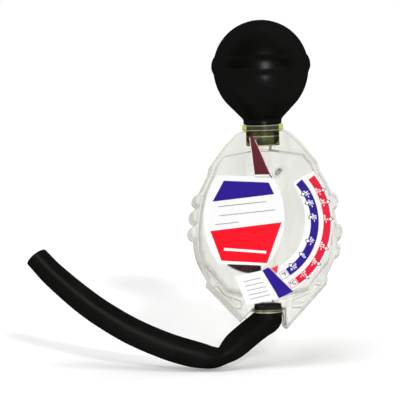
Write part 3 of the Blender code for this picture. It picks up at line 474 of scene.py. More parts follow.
def moulded_float(name, colour, tint, middle, arm_angle, arm_start, arm_width):
    """Clear moulded float, dark red all through but for the arm that carries the pointer's tip."""
    material, tree, output = start_material(name)
    point = add_node(tree, "ShaderNodeTexCoord").outputs["Object"]
    centred = add_node(tree, "ShaderNodeMapping", inputs={
        "Vector": point, "Location": tuple(-middle)}).outputs["Vector"]
    turned = add_node(tree, "ShaderNodeMapping", inputs={
        "Vector": centred, "Rotation": (0.0, arm_angle, 0.0)}).outputs["Vector"]
    place = add_node(tree, "ShaderNodeSeparateXYZ", inputs={"Vector": turned})
    beside = add_node(tree, "ShaderNodeMath", {"operation": "ABSOLUTE"}, {
        0: place.outputs["Z"]}).outputs[0]
    narrow = add_node(tree, "ShaderNodeMath", {"operation": "LESS_THAN"}, {
        0: beside, 1: arm_width}).outputs[0]
    far = add_node(tree, "ShaderNodeMath", {"operation": "GREATER_THAN"}, {
        0: place.outputs["X"], 1: arm_start}).outputs[0]
    arm = add_node(tree, "ShaderNodeMath", {"operation": "MULTIPLY"}, {
        0: narrow, 1: far}).outputs[0]
    cloud = add_node(tree, "ShaderNodeTexNoise", inputs={
        "Vector": point, "Scale": per_mm(4.0), "Detail": 2.0}).outputs["Fac"]
    tone = add_node(tree, "ShaderNodeMix", {"data_type": "RGBA"}, {
        0: cloud, 6: colour_of(colour, 0.85), 7: colour_of(colour, 1.25)}).outputs[2]
    relief = add_node(tree, "ShaderNodeBump", inputs={
        "Height": cloud, "Distance": 0.05 * MILLIMETRE, "Strength": 0.3}).outputs["Normal"]
    red = add_node(tree, "ShaderNodeBsdfPrincipled", inputs={
        "Base Color": tone, "Roughness": 0.25, "Specular IOR Level": 0.3,
        "Normal": relief}).outputs["BSDF"]
    clear = add_node(tree, "ShaderNodeBsdfTransparent", inputs={
        "Color": colour_of(tint)}).outputs["BSDF"]
    mixed = add_node(tree, "ShaderNodeMixShader", inputs={
        0: arm, 1: red, 2: clear}).outputs["Shader"]
    tree.links.new(mixed, output.inputs["Surface"])
    return material


def drawn_steel(name, colour):
    """Drawn steel wire, cut to length: grey, with lines along it from the die.

    The real lines are finer, and they are drawn 0.25 mm wide so that they show."""
    material, tree, output = start_material(name)
    point = add_node(tree, "ShaderNodeTexCoord").outputs["Object"]
    stretch = add_node(tree, "ShaderNodeMapping", inputs={
        "Vector": point, "Scale": (1.0, 0.04, 1.0)}).outputs["Vector"]
    streak = add_node(tree, "ShaderNodeTexNoise", inputs={
        "Vector": stretch, "Scale": per_mm(0.25), "Detail": 2.0}).outputs["Fac"]
    relief = add_node(tree, "ShaderNodeBump", inputs={
        "Height": streak, "Distance": 0.01 * MILLIMETRE, "Strength": 0.5}).outputs["Normal"]
    tone = add_node(tree, "ShaderNodeMix", {"data_type": "RGBA"}, {
        0: streak, 6: colour_of(colour, 0.8), 7: colour_of(colour, 1.1)}).outputs[2]
    shader = add_node(tree, "ShaderNodeBsdfPrincipled", inputs={
        "Base Color": tone, "Metallic": 1.0, "Roughness": 0.42, "Normal": relief})
    tree.links.new(shader.outputs["BSDF"], output.inputs["Surface"])
    return material


def turned_brass(name, colour, middle):
    """Turned brass slug: rings left by the tool on its ends, a little dulled.

    The real rings are finer, and they are drawn about 2 mm apart so that they show."""
    material, tree, output = start_material(name)
    point = add_node(tree, "ShaderNodeTexCoord").outputs["Object"]
    centred = add_node(tree, "ShaderNodeMapping", inputs={
        "Vector": point, "Location": tuple(-middle)}).outputs["Vector"]
    rings = add_node(tree, "ShaderNodeTexWave", {
        "wave_type": "RINGS", "rings_direction": "Y"}, {
        "Vector": centred, "Scale": per_mm(0.35) / WAVE_RADIANS}).outputs["Fac"]
    relief = add_node(tree, "ShaderNodeBump", inputs={
        "Height": rings, "Distance": 0.01 * MILLIMETRE, "Strength": 0.4}).outputs["Normal"]
    tarnish = add_node(tree, "ShaderNodeTexNoise", inputs={
        "Vector": point, "Scale": per_mm(1.6), "Detail": 3.0}).outputs["Fac"]
    tone = add_node(tree, "ShaderNodeMix", {"data_type": "RGBA"}, {
        0: tarnish, 6: colour_of(colour), 7: colour_of(colour, 0.7)}).outputs[2]
    shader = add_node(tree, "ShaderNodeBsdfPrincipled", inputs={
        "Base Color": tone, "Metallic": 1.0, "Roughness": 0.28, "Normal": relief})
    tree.links.new(shader.outputs["BSDF"], output.inputs["Surface"])
    return material


def printed_vinyl(name, colour):
    """Screen-printed vinyl or film under varnish: even colour, faint orange peel, a little wear."""
    material, tree, output = start_material(name)
    point = add_node(tree, "ShaderNodeTexCoord").outputs["Object"]
    wear = add_node(tree, "ShaderNodeTexNoise", inputs={
        "Vector": point, "Scale": per_mm(5.0), "Detail": 3.0}).outputs["Fac"]
    tone = add_node(tree, "ShaderNodeMix", {"data_type": "RGBA"}, {
        0: wear, 6: colour_of(colour), 7: colour_of(colour, 0.95)}).outputs[2]
    peel = add_node(tree, "ShaderNodeTexNoise", inputs={
        "Vector": point, "Scale": per_mm(1.2), "Detail": 1.0}).outputs["Fac"]
    relief = add_node(tree, "ShaderNodeBump", inputs={
        "Height": peel, "Distance": 0.01 * MILLIMETRE, "Strength": 0.25}).outputs["Normal"]
    shader = add_node(tree, "ShaderNodeBsdfPrincipled", inputs={
        "Base Color": tone, "Roughness": 0.28, "Specular IOR Level": 0.08, "Normal": relief})
    tree.links.new(shader.outputs["BSDF"], output.inputs["Surface"])
    return material


# Flat print

def dial_point(radius, degrees):
    """Point of the front face at a radius and an angle about the middle of the dial."""
    angle = math.radians(degrees)
    return DIAL_MIDDLE.x + radius * math.cos(angle), DIAL_MIDDLE.z + radius * math.sin(angle)


def add_sheet(form, outline, back, thickness):
    """Adds a closed sheet with this outline of (x, z) points, its back at a depth."""
    face = form.faces.new([form.verts.new((x, back, z)) for x, z in outline])
    grown = bmesh.ops.extrude_face_region(form, geom=[face])["geom"]
    raised = [item for item in grown if isinstance(item, bmesh.types.BMVert)]
    bmesh.ops.translate(form, verts=raised, vec=(0.0, -thickness, 0.0))


def add_ink(form, outline, layer):
    """Adds a sheet of ink to the labels; the layers lie on one another."""
    add_sheet(form, outline, LABEL_FACE_Y - INK_GAP - layer * INK_STEP, INK_THICKNESS)


def add_band(form, inner, outer, start, end, layer):
    """Adds a curved band of ink between two radii and two angles of the dial."""
    angles = [start + (end - start) * step / BAND_STEPS for step in range(BAND_STEPS + 1)]
    outline = [dial_point(outer, angle) for angle in angles]
    outline += [dial_point(inner, angle) for angle in reversed(angles)]
    add_ink(form, outline, layer)


def add_rule(form, start, end, width, layer):
    """A straight printed line between two points."""
    start, end = Vector(start), Vector(end)
    side = (end - start).normalized().orthogonal() * width / 2
    add_ink(form, [start + side, end + side, end - side, start - side], layer)


def add_words(form, words, size, radius, angle, layer, boldness, width=1.0):
    """Adds a number or a unit sign at a radius and an angle of the dial, upright along the arc."""
    x, z = dial_point(radius, angle)
    curve = bpy.data.curves.new("words", "FONT")
    curve.body = words
    curve.size = size
    curve.align_x = "CENTER"
    curve.align_y = "CENTER"
    curve.offset = boldness
    curve.extrude = INK_THICKNESS / 2
    holder = bpy.data.objects.new("words", curve)
    bpy.context.scene.collection.objects.link(holder)
    bpy.context.view_layer.update()
    made = holder.evaluated_get(bpy.context.evaluated_depsgraph_get())
    mesh = bpy.data.meshes.new_from_object(made)
    bpy.data.objects.remove(holder, do_unlink=True)
    middle = LABEL_FACE_Y - INK_GAP - layer * INK_STEP - INK_THICKNESS / 2
    mesh.transform(
        Matrix.Translation((x, middle, z))
        @ Matrix.Rotation(math.radians(-(angle + 90.0)), 4, "Y")
        @ Matrix.Rotation(math.radians(90.0), 4, "X")
        @ Matrix.Diagonal((width, 1.0, 1.0, 1.0)))
    form.from_mesh(mesh)
    bpy.data.meshes.remove(mesh)


class TesterBody(PropertyGroup):
    """Finish of the clear body, its web and seals, and colours of the float and the metal"""
    tint: StringProperty(
        name="Tint", description="sRGB hex colour that the clear plastic gives light at a surface",
        default="FBFBF9")
    edge_tint: StringProperty(
        name="Edge tint", description="sRGB hex colour that the clear plastic gives skimming light",
        default="A6A09A")
    shadow_tint: StringProperty(
        name="Shadow tint", description="sRGB hex colour that the clear plastic's shadow has",
        default="E0E0DC")
    roughness: FloatProperty(
        name="Roughness", description="Roughness of the clear plastic", default=0.03, min=0.0,
        max=1.0)
    glassiness: FloatProperty(
        name="Glassiness", description="Share of the light that the clear plastic bends",
        default=0.6, min=0.0, max=1.0)
    wet_radius: FloatProperty(
        name="Wet radius", description="Radius within which the seals wet the clear plastic",
        default=0.0095, unit="LENGTH")
    wet_height: FloatProperty(
        name="Wet height", description="Distance up and down from which the seals wet it",
        default=0.0360, unit="LENGTH")
    web_start: FloatProperty(
        name="Web start", description="Side of the chin's web next to the hose", default=0.0076,
        unit="LENGTH")
    web_end: FloatProperty(
        name="Web end", description="Side of the chin's web next to the wing", default=0.0088,
        unit="LENGTH")
    web_gap: FloatProperty(
        name="Web gap", description="Gap above and below the chin's web", default=0.0002,
        unit="LENGTH")
    web_recess: FloatProperty(
        name="Web recess", description="How far the web lies behind the body's faces",
        default=0.0006, unit="LENGTH")
    web_rounding: FloatProperty(
        name="Web rounding", description="Rounding of the web's edges", default=0.0003,
        unit="LENGTH")
    collar_rounding: FloatProperty(
        name="Collar rounding", description="Rounding of the collar's edges", default=0.0005,
        unit="LENGTH")
    sleeve_gap: FloatProperty(
        name="Sleeve gap", description="Gap between the plug and its sleeve", default=0.00005,
        unit="LENGTH")
    sleeve_wall: FloatProperty(
        name="Sleeve wall", description="Thickness of the sleeve round the plug", default=0.0002,
        unit="LENGTH")
    # Painted highlight: a pale band on the sleeve, this far below the collar
    highlight_drop: FloatProperty(
        name="Highlight drop", description="Height of the sleeve's rib below the collar", default=0.0029,
        unit="LENGTH")
    # Height of the painted highlight bands, on the collar's rounded edges and on the sleeve
    highlight_height: FloatProperty(
        name="Highlight height", description="Height of the pale ribs of the seal", default=0.0004,
        unit="LENGTH")
    # How much paler the painted highlight bands make the seal
    highlight_paleness: FloatProperty(
        name="Highlight cloudiness", description="How much milkier the seal is on its ribs",
        default=0.42, min=0.0, max=1.0)
    seal_tint: StringProperty(
        name="Seal tint", description="sRGB hex colour that the vinyl seals give light",
        default="DDE0A0")
    seal: StringProperty(
        name="Seal", description="sRGB hex colour of the vinyl seals", default="E2E4C8")
    hose_seal: StringProperty(
        name="Hose seal", description="sRGB hex colour of the seal round the hose",
        default="D6D4B8")
    seal_cloudiness: FloatProperty(
        name="Seal cloudiness", description="How milky the seal under the bulb is",
        default=0.06, min=0.0, max=1.0)
    hose_cloudiness: FloatProperty(
        name="Hose seal cloudiness", description="How milky the seal round the hose is",
        default=0.60, min=0.0, max=1.0)
    float_colour: StringProperty(
        name="Float", description="sRGB hex colour of the float", default="2E0A12")
    arm_tint: StringProperty(
        name="Arm tint", description="sRGB hex colour that the float's clear arm gives light",
        default="FDFDFC")
    arm_start: FloatProperty(
        name="Arm start", description="Distance from the pivot at which the float's arm is clear",
        default=0.0190, unit="LENGTH")
    arm_width: FloatProperty(
        name="Arm width", description="Half-width of the float's clear arm", default=0.0026,
        unit="LENGTH")
    tip: StringProperty(
        name="Pointer tip", description="sRGB hex colour of the pointer's tip", default="EA2636")
    steel: StringProperty(
        name="Steel", description="sRGB hex colour of the pins", default="62625C")
    brass: StringProperty(
        name="Brass", description="sRGB hex colour of the balance weight", default="D2B06A")


class TesterBulb(PropertyGroup):
    """Sizes and rubber of the squeeze bulb and its plug"""
    radius: FloatProperty(
        name="Radius", description="Radius of the bulb's round", default=0.0240, unit="LENGTH")
    belly_depth: FloatProperty(
        name="Belly depth", description="Depth of the bulb's lower half, if it were whole",
        default=0.0259, unit="LENGTH")
    wall: FloatProperty(
        name="Wall", description="Thickness of the rubber", default=0.0026, unit="LENGTH")
    cone_start: FloatProperty(
        name="Cone start", description="Angle below the equator at which the round turns to a cone",
        default=math.radians(46.2), subtype="ANGLE")
    ridge: FloatProperty(
        name="Ridge", description="How proud the parting ridge stands", default=0.0010,
        unit="LENGTH")
    ridge_raise: FloatProperty(
        name="Ridge raise", description="Height of the ridge's crest over the equator",
        default=0.0010, unit="LENGTH")
    ridge_rise: FloatProperty(
        name="Ridge rise", description="Reach of the ridge above its crest", default=0.0051,
        unit="LENGTH")
    ridge_fall: FloatProperty(
        name="Ridge fall", description="Reach of the ridge below its crest", default=0.0040,
        unit="LENGTH")
    neck: FloatProperty(
        name="Neck", description="Radius of the bulb's neck", default=0.00965, unit="LENGTH")
    fillet: FloatProperty(
        name="Fillet", description="Rounding at the neck and the plug's foot", default=0.0008,
        unit="LENGTH")
    plug: FloatProperty(
        name="Plug", description="Radius of the plug in the body's neck", default=0.00815,
        unit="LENGTH")
    plug_length: FloatProperty(
        name="Plug length", description="Length of the plug", default=0.0105, unit="LENGTH")
    plug_rounding: FloatProperty(
        name="Plug rounding", description="Rounding of the plug's foot", default=0.0034,
        unit="LENGTH")
    groove: FloatProperty(
        name="Groove", description="Depth of the plug's grooves", default=0.0006, unit="LENGTH")
    groove_width: FloatProperty(
        name="Groove width", description="Half-width of the plug's grooves", default=0.0007,
        unit="LENGTH")
    bore: FloatProperty(
        name="Bore", description="Radius of the hole through the plug", default=0.0033,
        unit="LENGTH")
    steps: IntProperty(name="Steps", description="Faces round the bulb", default=112, min=24)
    colour: StringProperty(
        name="Colour", description="sRGB hex colour of the rubber", default="090A08")
    roughness: FloatProperty(
        name="Roughness", description="Roughness of the rubber", default=0.30, min=0.0, max=1.0)
    shine: FloatProperty(
        name="Shine", description="Share of light that the rubber mirrors", default=0.004, min=0.0,
        max=1.0)


class TesterHose(PropertyGroup):
    """Sizes, kink and rubber of the suction hose"""
    diameter: FloatProperty(
        name="Diameter", description="Outside diameter of the hose", default=0.0134, min=0.006,
        unit="LENGTH")
    bore: FloatProperty(
        name="Bore", description="Inside diameter of the hose", default=0.0066, min=0.002,
        unit="LENGTH")
    rings: IntProperty(
        name="Rings", description="Rings of faces along the hose", default=190, min=40)
    sides: IntProperty(
        name="Sides", description="Faces round the hose", default=48, min=12)
    kink_place: FloatVectorProperty(
        name="Kink place", description="Point nearest to which the hose is flattest",
        default=(-0.0250, -0.0128, -0.0665), subtype="TRANSLATION")
    kink: FloatProperty(
        name="Kink", description="Share of its thickness that the hose loses at its tightest bend",
        default=0.24, min=0.0, max=0.4)
    kink_ahead: FloatProperty(
        name="Kink ahead", description="Reach of the kink towards the open end", default=0.0095,
        unit="LENGTH")
    kink_behind: FloatProperty(
        name="Kink behind", description="Reach of the kink towards the socket", default=0.0060,
        unit="LENGTH")
    crease: FloatProperty(
        name="Crease", description="Depth of the crease inside the kink", default=0.0011,
        unit="LENGTH")
    crease_reach: FloatProperty(
        name="Crease reach", description="Half-length of the crease", default=0.0019,
        unit="LENGTH")
    shoulder: FloatProperty(
        name="Shoulder", description="Swelling outside the first bend", default=0.0010,
        unit="LENGTH")
    shoulder_place: FloatProperty(
        name="Shoulder place", description="Distance of the swelling from the hose's start",
        default=0.0075, unit="LENGTH")
    shoulder_reach: FloatProperty(
        name="Shoulder reach", description="Half-length of the swelling", default=0.0042,
        unit="LENGTH")
    slant: FloatProperty(
        name="Slant", description="How far the near side of the cut end runs on past its middle",
        default=0.0022, unit="LENGTH")
    slant_reach: FloatProperty(
        name="Slant reach", description="Length over which the rings lean into the cut",
        default=0.0100, unit="LENGTH")
    rim: FloatProperty(
        name="Rim", description="Rounding of the cut ends", default=0.0004, unit="LENGTH")
    colour: StringProperty(
        name="Colour", description="sRGB hex colour of the rubber", default="0E0E0D")
    roughness: FloatProperty(
        name="Roughness", description="Roughness of the rubber", default=0.38, min=0.0, max=1.0)
    shine: FloatProperty(
        name="Shine", description="Share of light that the rubber mirrors", default=0.002, min=0.0,
        max=1.0)


class TesterPrint(PropertyGroup):
    """Inks, type and ticks of the labels"""
    blue: StringProperty(
        name="Blue", description="sRGB hex colour of the blue ink", default="2A148C")
    red: StringProperty(
        name="Red", description="sRGB hex colour of the red ink", default="F80E24")
    band_red: StringProperty(
        name="Red of the scale", description="sRGB hex colour of the scale's red ink",
        default="E21636")
    maroon: StringProperty(
        name="Maroon", description="sRGB hex colour of the level film", default="5C1E28")
    border: StringProperty(
        name="Border", description="sRGB hex colour of the level film's edges", default="F0D8D8")
    white: StringProperty(
        name="White", description="sRGB hex colour of the labels", default="F2F2F2")
    black: StringProperty(
        name="Black", description="sRGB hex colour of the thin lines", default="28282A")
    rule: StringProperty(
        name="Ruled lines", description="sRGB hex colour of the write-on lines", default="8C8C90")
    digit_size: FloatProperty(
        name="Digit size", description="Type size of the dial's numbers", default=0.0029,
        unit="LENGTH")
    digit_width: FloatProperty(
        name="Digit width", description="How far the numbers are condensed", default=0.74, min=0.3,
        max=1.5)
    digit_boldness: FloatProperty(
        name="Digit boldness", description="How much the numbers are fattened", default=0.00008,
        unit="LENGTH")
    unit_size: FloatProperty(
        name="Unit size", description="Type size of the unit signs", default=0.0028,
        unit="LENGTH")
    unit_boldness: FloatProperty(
        name="Unit boldness", description="How much the unit signs are fattened",
        default=0.00005, unit="LENGTH")
    tick: FloatProperty(
        name="Tick", description="Half-diagonal of the diamond ticks", default=0.00090,
        unit="LENGTH")
    tick_outline: FloatProperty(
        name="Tick outline", description="Width of the ticks' outline", default=0.00036,
        unit="LENGTH")


class TesterStage(PropertyGroup):
    """Camera, floor, lamps and world"""
    azimuth: FloatProperty(
        name="Azimuth", description="Camera's turn to the right of the dial",
        default=math.radians(6.0), subtype="ANGLE")
    elevation: FloatProperty(
        name="Elevation", description="Camera's height above the horizon",
        default=math.radians(5.0), subtype="ANGLE")
    roll: FloatProperty(
        name="Roll", description="Camera's turn about its own line of sight",
        default=math.radians(-1.93), subtype="ANGLE")
    distance: FloatProperty(
        name="Distance", description="Camera's distance from the aim point", default=1.0,
        unit="LENGTH")
    field: FloatProperty(
        name="Field", description="Width that the picture takes in at the aim point",
        default=0.2032, unit="LENGTH")
    aim: FloatVectorProperty(
        name="Aim", description="Point in the middle of the picture",
        default=(-0.0330, -0.0120, 0.0123), subtype="TRANSLATION")
    floor_height: FloatProperty(
        name="Floor", description="Height of the floor", default=-0.0752, unit="LENGTH")
    floor_front: FloatProperty(
        name="Floor front", description="How far the floor reaches in front of the object",
        default=0.42, unit="LENGTH")
    floor_glow: FloatProperty(
        name="Floor glow", description="Brightness that the seen floor has by itself", default=0.21)
    floor_shade: FloatProperty(
        name="Floor shade", description="How much the seen floor takes lamps and shadows",
        default=0.85)
    right_sun: FloatProperty(
        name="Right light", description="Strength of the broad light from the right", default=1.75)
    left_sun: FloatProperty(
        name="Left light", description="Strength of the broad light from the left", default=0.2)
    top_sun: FloatProperty(
        name="Top light", description="Strength of the broad light from overhead", default=1.6)
    strip_power: FloatProperty(
        name="Strip lamp",
        description="Power of the tall lamp beside the camera, which gives only glints",
        default=36.0)
    world_back: FloatProperty(
        name="World behind", description="Brightness of the world behind the object", default=0.50)
    world_front: FloatProperty(
        name="World in front", description="Brightness of the world on the camera's side",
        default=0.05)


class TESTER_OT_camera(Operator):
    """Sets the camera at the photograph's viewing angle"""
    bl_idname = "tester.camera"
    bl_label = "Camera"

    def execute(self, context):
        stage = context.scene.tester_stage
        camera = bpy.data.objects.new("camera", bpy.data.cameras.new("camera"))
        context.scene.collection.objects.link(camera)
        flat = math.cos(stage.elevation)
        back = Vector((
            math.sin(stage.azimuth) * flat, -math.cos(stage.azimuth) * flat,
            math.sin(stage.elevation)))
        camera.location = Vector(stage.aim) + back * stage.distance
        camera.rotation_mode = "QUATERNION"
        camera.rotation_quaternion = (
            (-back).to_track_quat("-Z", "Y") @ Quaternion((0.0, 0.0, 1.0), stage.roll))
        camera.data.lens = camera.data.sensor_width * stage.distance / stage.field
        context.scene.camera = camera
        return {"FINISHED"}


class TESTER_OT_hose(Operator):
    """Builds the rubber suction hose along its route"""
    bl_idname = "tester.hose"
    bl_label = "Suction hose"

    def execute(self, context):
        hose = context.scene.tester_hose
        line, length = smooth_line(HOSE_ROUTE, hose.rings)
        pace = length / (hose.rings - 1)
        kink_place = Vector(hose.kink_place)
        kink = min(range(len(line)), key=lambda index: (line[index] - kink_place).length)
        form = bmesh.new()
        lay = form.verts.layers.float_vector.new("lay")

        def ring_turn(index):
            """Turn of a ring: x to the inside of the bends, y to the back, z along the hose."""
            ahead = (line[min(index + 1, len(line) - 1)] - line[max(index - 1, 0)]).normalized()
            side = Vector((0.0, 1.0, 0.0)).cross(ahead).normalized()
            return Matrix((side, ahead.cross(side), ahead)).transposed()

        def ring_point(start, index):
            """Place of a point of the plain ring, once the hose is bent, flattened and cut."""
            around = start.normalized()
            width = between(HOSE_WIDTHS, index / (len(line) - 1))
            past = (index - kink) * pace
            reach = past / (hose.kink_ahead if past > 0.0 else hose.kink_behind)
            loss = hose.kink * math.exp(-reach * reach)
            x = start.x * width * (1.0 - loss)
            y = start.y * width * (1.0 + KINK_SPREAD * loss)
            share = start.length / (hose.diameter / 2)
            crease = math.exp(-(past / hose.crease_reach) ** 2) * max(0.0, around.x) ** 2
            x -= hose.crease * crease * share
            bend = (index * pace - hose.shoulder_place) / hose.shoulder_reach
            x -= hose.shoulder * share * math.exp(-bend * bend) * max(0.0, -around.x) ** 2
            lean = max(0.0, 1.0 - (len(line) - 1 - index) * pace / hose.slant_reach) ** 2
            ahead = -hose.slant * lean * y / (hose.diameter / 2)
            return line[index] + ring_turn(index) @ Vector((x, y, ahead))

        def add_skin(radius):
            """Draws a plain ring along the hose, and gives its first and last rings."""
            made = bmesh.ops.create_circle(form, cap_ends=False, segments=hose.sides, radius=radius)
            ring = made["verts"]
            plain = [vert.co.copy() for vert in ring]
            first = ring
            edges = [edge for edge in form.edges if edge.verts[0] in ring and edge.verts[1] in ring]
            for index in range(len(line)):
                if index > 0:
                    grown = bmesh.ops.extrude_edge_only(form, edges=edges)["geom"]
                    fresh = {item for item in grown if isinstance(item, bmesh.types.BMVert)}
                    edges = [item for item in grown if isinstance(item, bmesh.types.BMEdge)
                             and item.verts[0] in fresh and item.verts[1] in fresh]
                    ring = [
                        next(edge.other_vert(vert) for edge in vert.link_edges
                             if edge.other_vert(vert) in fresh)
                        for vert in ring]
                for vert, start in zip(ring, plain):
                    vert.co = ring_point(start, index)
                    vert[lay] = (start.x, start.y, index * pace)
            return first, ring

        outer = add_skin(hose.diameter / 2)
        inner = add_skin(hose.bore / 2)
        for outside, inside in zip(outer, inner):
            rim = set(outside) | set(inside)
            loops = [
                edge for edge in form.edges
                if edge.verts[0] in rim and edge.verts[1] in rim and edge.is_boundary]
            bmesh.ops.bridge_loops(form, edges=loops)
        lips = [
            edge for edge in form.edges
            if len(edge.link_faces) == 2 and edge.calc_face_angle(0.0) > LIP_ANGLE]
        bmesh.ops.bevel(
            form, geom=lips, offset=hose.rim, offset_type="OFFSET", segments=3, profile=0.5,
            affect="EDGES", clamp_overlap=True, material=-1)
        rubber = black_rubber(
            "EPDM rubber, extruded", hose.colour, hose.roughness, hose.shine, extruded=True)
        piece = finish_mesh("rubber_hose", form, rubber, smooth_angle=50.0)
        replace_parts(piece, "suction_hose")
        return {"FINISHED"}


class TESTER_OT_bulb(Operator):
    """Spins the rubber squeeze bulb with its parting ridge and its plug"""
    bl_idname = "tester.bulb"
    bl_label = "Squeeze bulb"

    def execute(self, context):
        bulb = context.scene.tester_bulb
        form = bmesh.new()
        add_spin(form, self.half_section(bulb), bulb.steps)
        rubber = black_rubber(
            "Natural rubber, moulded", bulb.colour, bulb.roughness, bulb.shine)
        piece = finish_mesh("rubber_bulb", form, rubber, smooth_angle=40.0)
        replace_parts(piece, "squeeze_bulb")
        return {"FINISHED"}

    def half_section(self, bulb):
        """Half-section of the bulb, from its crown down its outside and back up its inside."""
        centre = BULB_TOP_Z - bulb.radius
        slope = math.tan(bulb.cone_start) * bulb.radius / bulb.belly_depth

        def round_points(wall, start, end, steps):
            """Points of the round between two angles, this far inside its outer face."""
            points = []
            for step in range(steps + 1):
                angle = start + (end - start) * step / steps
                depth = bulb.radius if angle > 0.0 else bulb.belly_depth
                points.append((
                    (bulb.radius - wall) * math.cos(angle),
                    centre + (depth - wall) * math.sin(angle)))
            return points

        crest, _ = smooth_line(
            [(share, 0.0, swell) for share, swell in RIDGE_SHARES], RIDGE_POINTS)
        ridge = []
        for knot in crest:
            height = bulb.ridge_raise + knot.x * (
                bulb.ridge_rise if knot.x > 0.0 else bulb.ridge_fall)
            depth = bulb.radius if height > 0.0 else bulb.belly_depth
            width = bulb.radius * math.sqrt(1.0 - (height / depth) ** 2)
            ridge.append((width + knot.z * bulb.ridge, centre + height))
        crown_foot = math.asin((bulb.ridge_raise + bulb.ridge_rise) / bulb.radius)
        belly_head = math.asin((bulb.ridge_raise - bulb.ridge_fall) / bulb.belly_depth)
        crown = round_points(0.0, math.pi / 2, crown_foot, CROWN_STEPS)[:-1]
        crown[0] = (0.0, BULB_TOP_Z)
        belly = round_points(0.0, belly_head, -bulb.cone_start, BELLY_STEPS)[1:]
        cone_width = belly[-1][0]
        neck_z = belly[-1][1] - (cone_width - bulb.neck) / slope
        # A few points round off each corner of the neck
        neck = [
            (bulb.neck + bulb.fillet, neck_z + bulb.fillet / slope),
            (bulb.neck + bulb.fillet * 0.35, neck_z + bulb.fillet * 0.2),
            (bulb.neck, neck_z - bulb.fillet / 2), (bulb.neck, PLUG_TOP_Z + bulb.fillet * 0.4),
            (bulb.neck - bulb.fillet * 0.4, PLUG_TOP_Z),
        ]
        plug = [(bulb.plug, PLUG_TOP_Z)]
        for share in PLUG_GROOVES:
            height = PLUG_TOP_Z - share * bulb.plug_length
            plug += [
                (bulb.plug, height + bulb.groove_width), (bulb.plug - bulb.groove, height),
                (bulb.plug, height - bulb.groove_width)]
        foot = PLUG_TOP_Z - bulb.plug_length
        plug += foot_arc(bulb.plug, bulb.plug_rounding, foot)
        plug.append((bulb.bore, foot))
        inner = round_points(bulb.wall, -bulb.cone_start, math.pi / 2, CROWN_STEPS)
        inner[-1] = (0.0, BULB_TOP_Z - bulb.wall)
        bore_z = inner[0][1] - (inner[0][0] - bulb.bore) / slope
        return crown + ridge + belly + neck + plug + [(bulb.bore, bore_z)] + inner


class TESTER_OT_seal(Operator):
    """Spins the vinyl collar under the bulb, with the thin sleeve round the plug"""
    bl_idname = "tester.seal"
    bl_label = "Bulb seal"

    def execute(self, context):
        body = context.scene.tester_body
        bulb = context.scene.tester_bulb
        low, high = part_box("bulb_collar")
        outer = (high.x - low.x) / 2
        rounding = body.collar_rounding
        corner = rounding * CORNER_SHARE
        foot = PLUG_TOP_Z - bulb.plug_length
        inside = bulb.plug + body.sleeve_gap
        outside = inside + body.sleeve_wall
        section = [
            (inside, high.z), (outer - rounding, high.z),
            (outer - corner, high.z - corner), (outer, high.z - rounding),
            (outer, low.z + rounding), (outer - corner, low.z + corner),
            (outer - rounding, low.z), (outside, low.z), (outside, foot)]
        section += reversed(foot_arc(inside, bulb.plug_rounding, foot))
        form = bmesh.new()
        add_spin(form, section, bulb.steps, closed=True)
        # The pale bands at the collar's rounded edges and on the sleeve below are painted highlights
        vinyl = yellowed_vinyl(
            "Plasticised vinyl, clear", body.seal_tint, body.seal, body.seal_cloudiness,
            [low.z + HIGHLIGHT_INSET, high.z - HIGHLIGHT_INSET, low.z - body.highlight_drop], body.highlight_height,
            body.highlight_paleness)
        piece = finish_mesh("vinyl_seal", form, vinyl)
        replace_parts(piece, "bulb_collar")
        paint(nodes["hose_collar"], yellowed_vinyl(
            "Plasticised vinyl, cloudy", body.seal_tint, body.hose_seal, body.hose_cloudiness))
        return {"FINISHED"}


class TESTER_OT_body(Operator):
    """Gives the shells, the float, the pins and the weight their finishes, and adds the web"""
    bl_idname = "tester.body"
    bl_label = "Body, float and metal"

    def execute(self, context):
        body = context.scene.tester_body
        clear = clear_polystyrene(
            "Crystal polystyrene, moulded", body.tint, body.edge_tint, body.shadow_tint,
            body.roughness, body.glassiness, body.wet_radius, body.wet_height)
        tip = middle_of("pointer_tip") - DIAL_MIDDLE
        dark_red = moulded_float(
            "Polystyrene, clear and dark red, moulded", body.float_colour, body.arm_tint,
            DIAL_MIDDLE, math.atan2(tip.z, tip.x), body.arm_start, body.arm_width)
        bright_red = moulded_polystyrene(
            "Polystyrene, bright red, moulded", body.tip, roughness=0.30)
        steel = drawn_steel("Carbon steel, drawn", body.steel)
        brass = turned_brass("Brass, turned", body.brass, middle_of("balance_weight"))
        self.chin_web(body, clear)
        for node, material in (
                ("front_shell", clear), ("back_shell", clear), ("swing_float", dark_red),
                ("pointer_tip", bright_red), ("pivot_pin", steel), ("stop_pin", steel),
                ("balance_weight", brass)):
            paint(nodes[node], material)
        return {"FINISHED"}

    def chin_web(self, body, clear):
        """Narrow web between the hose and the right wing, with its foot sloped and rounded."""
        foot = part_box("front_shell")[0].z
        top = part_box("hose_collar")[0].z - body.web_gap
        back = BODY_MIDDLE_Y * 2 - LABEL_FACE_Y - body.web_recess
        front = LABEL_FACE_Y + body.web_recess
        rise = (body.web_end - body.web_start) * WEB_SLOPE
        form = bmesh.new()
        add_sheet(form, [
            (body.web_start, top), (body.web_end, top), (body.web_end, foot + body.web_gap),
            (body.web_start, foot + rise)], back, back - front)
        bmesh.ops.bevel(
            form, geom=list(form.edges), offset=body.web_rounding, offset_type="OFFSET",
            segments=3, profile=0.5, affect="EDGES", clamp_overlap=True, material=-1)
        finish_mesh("chin_web", form, clear)


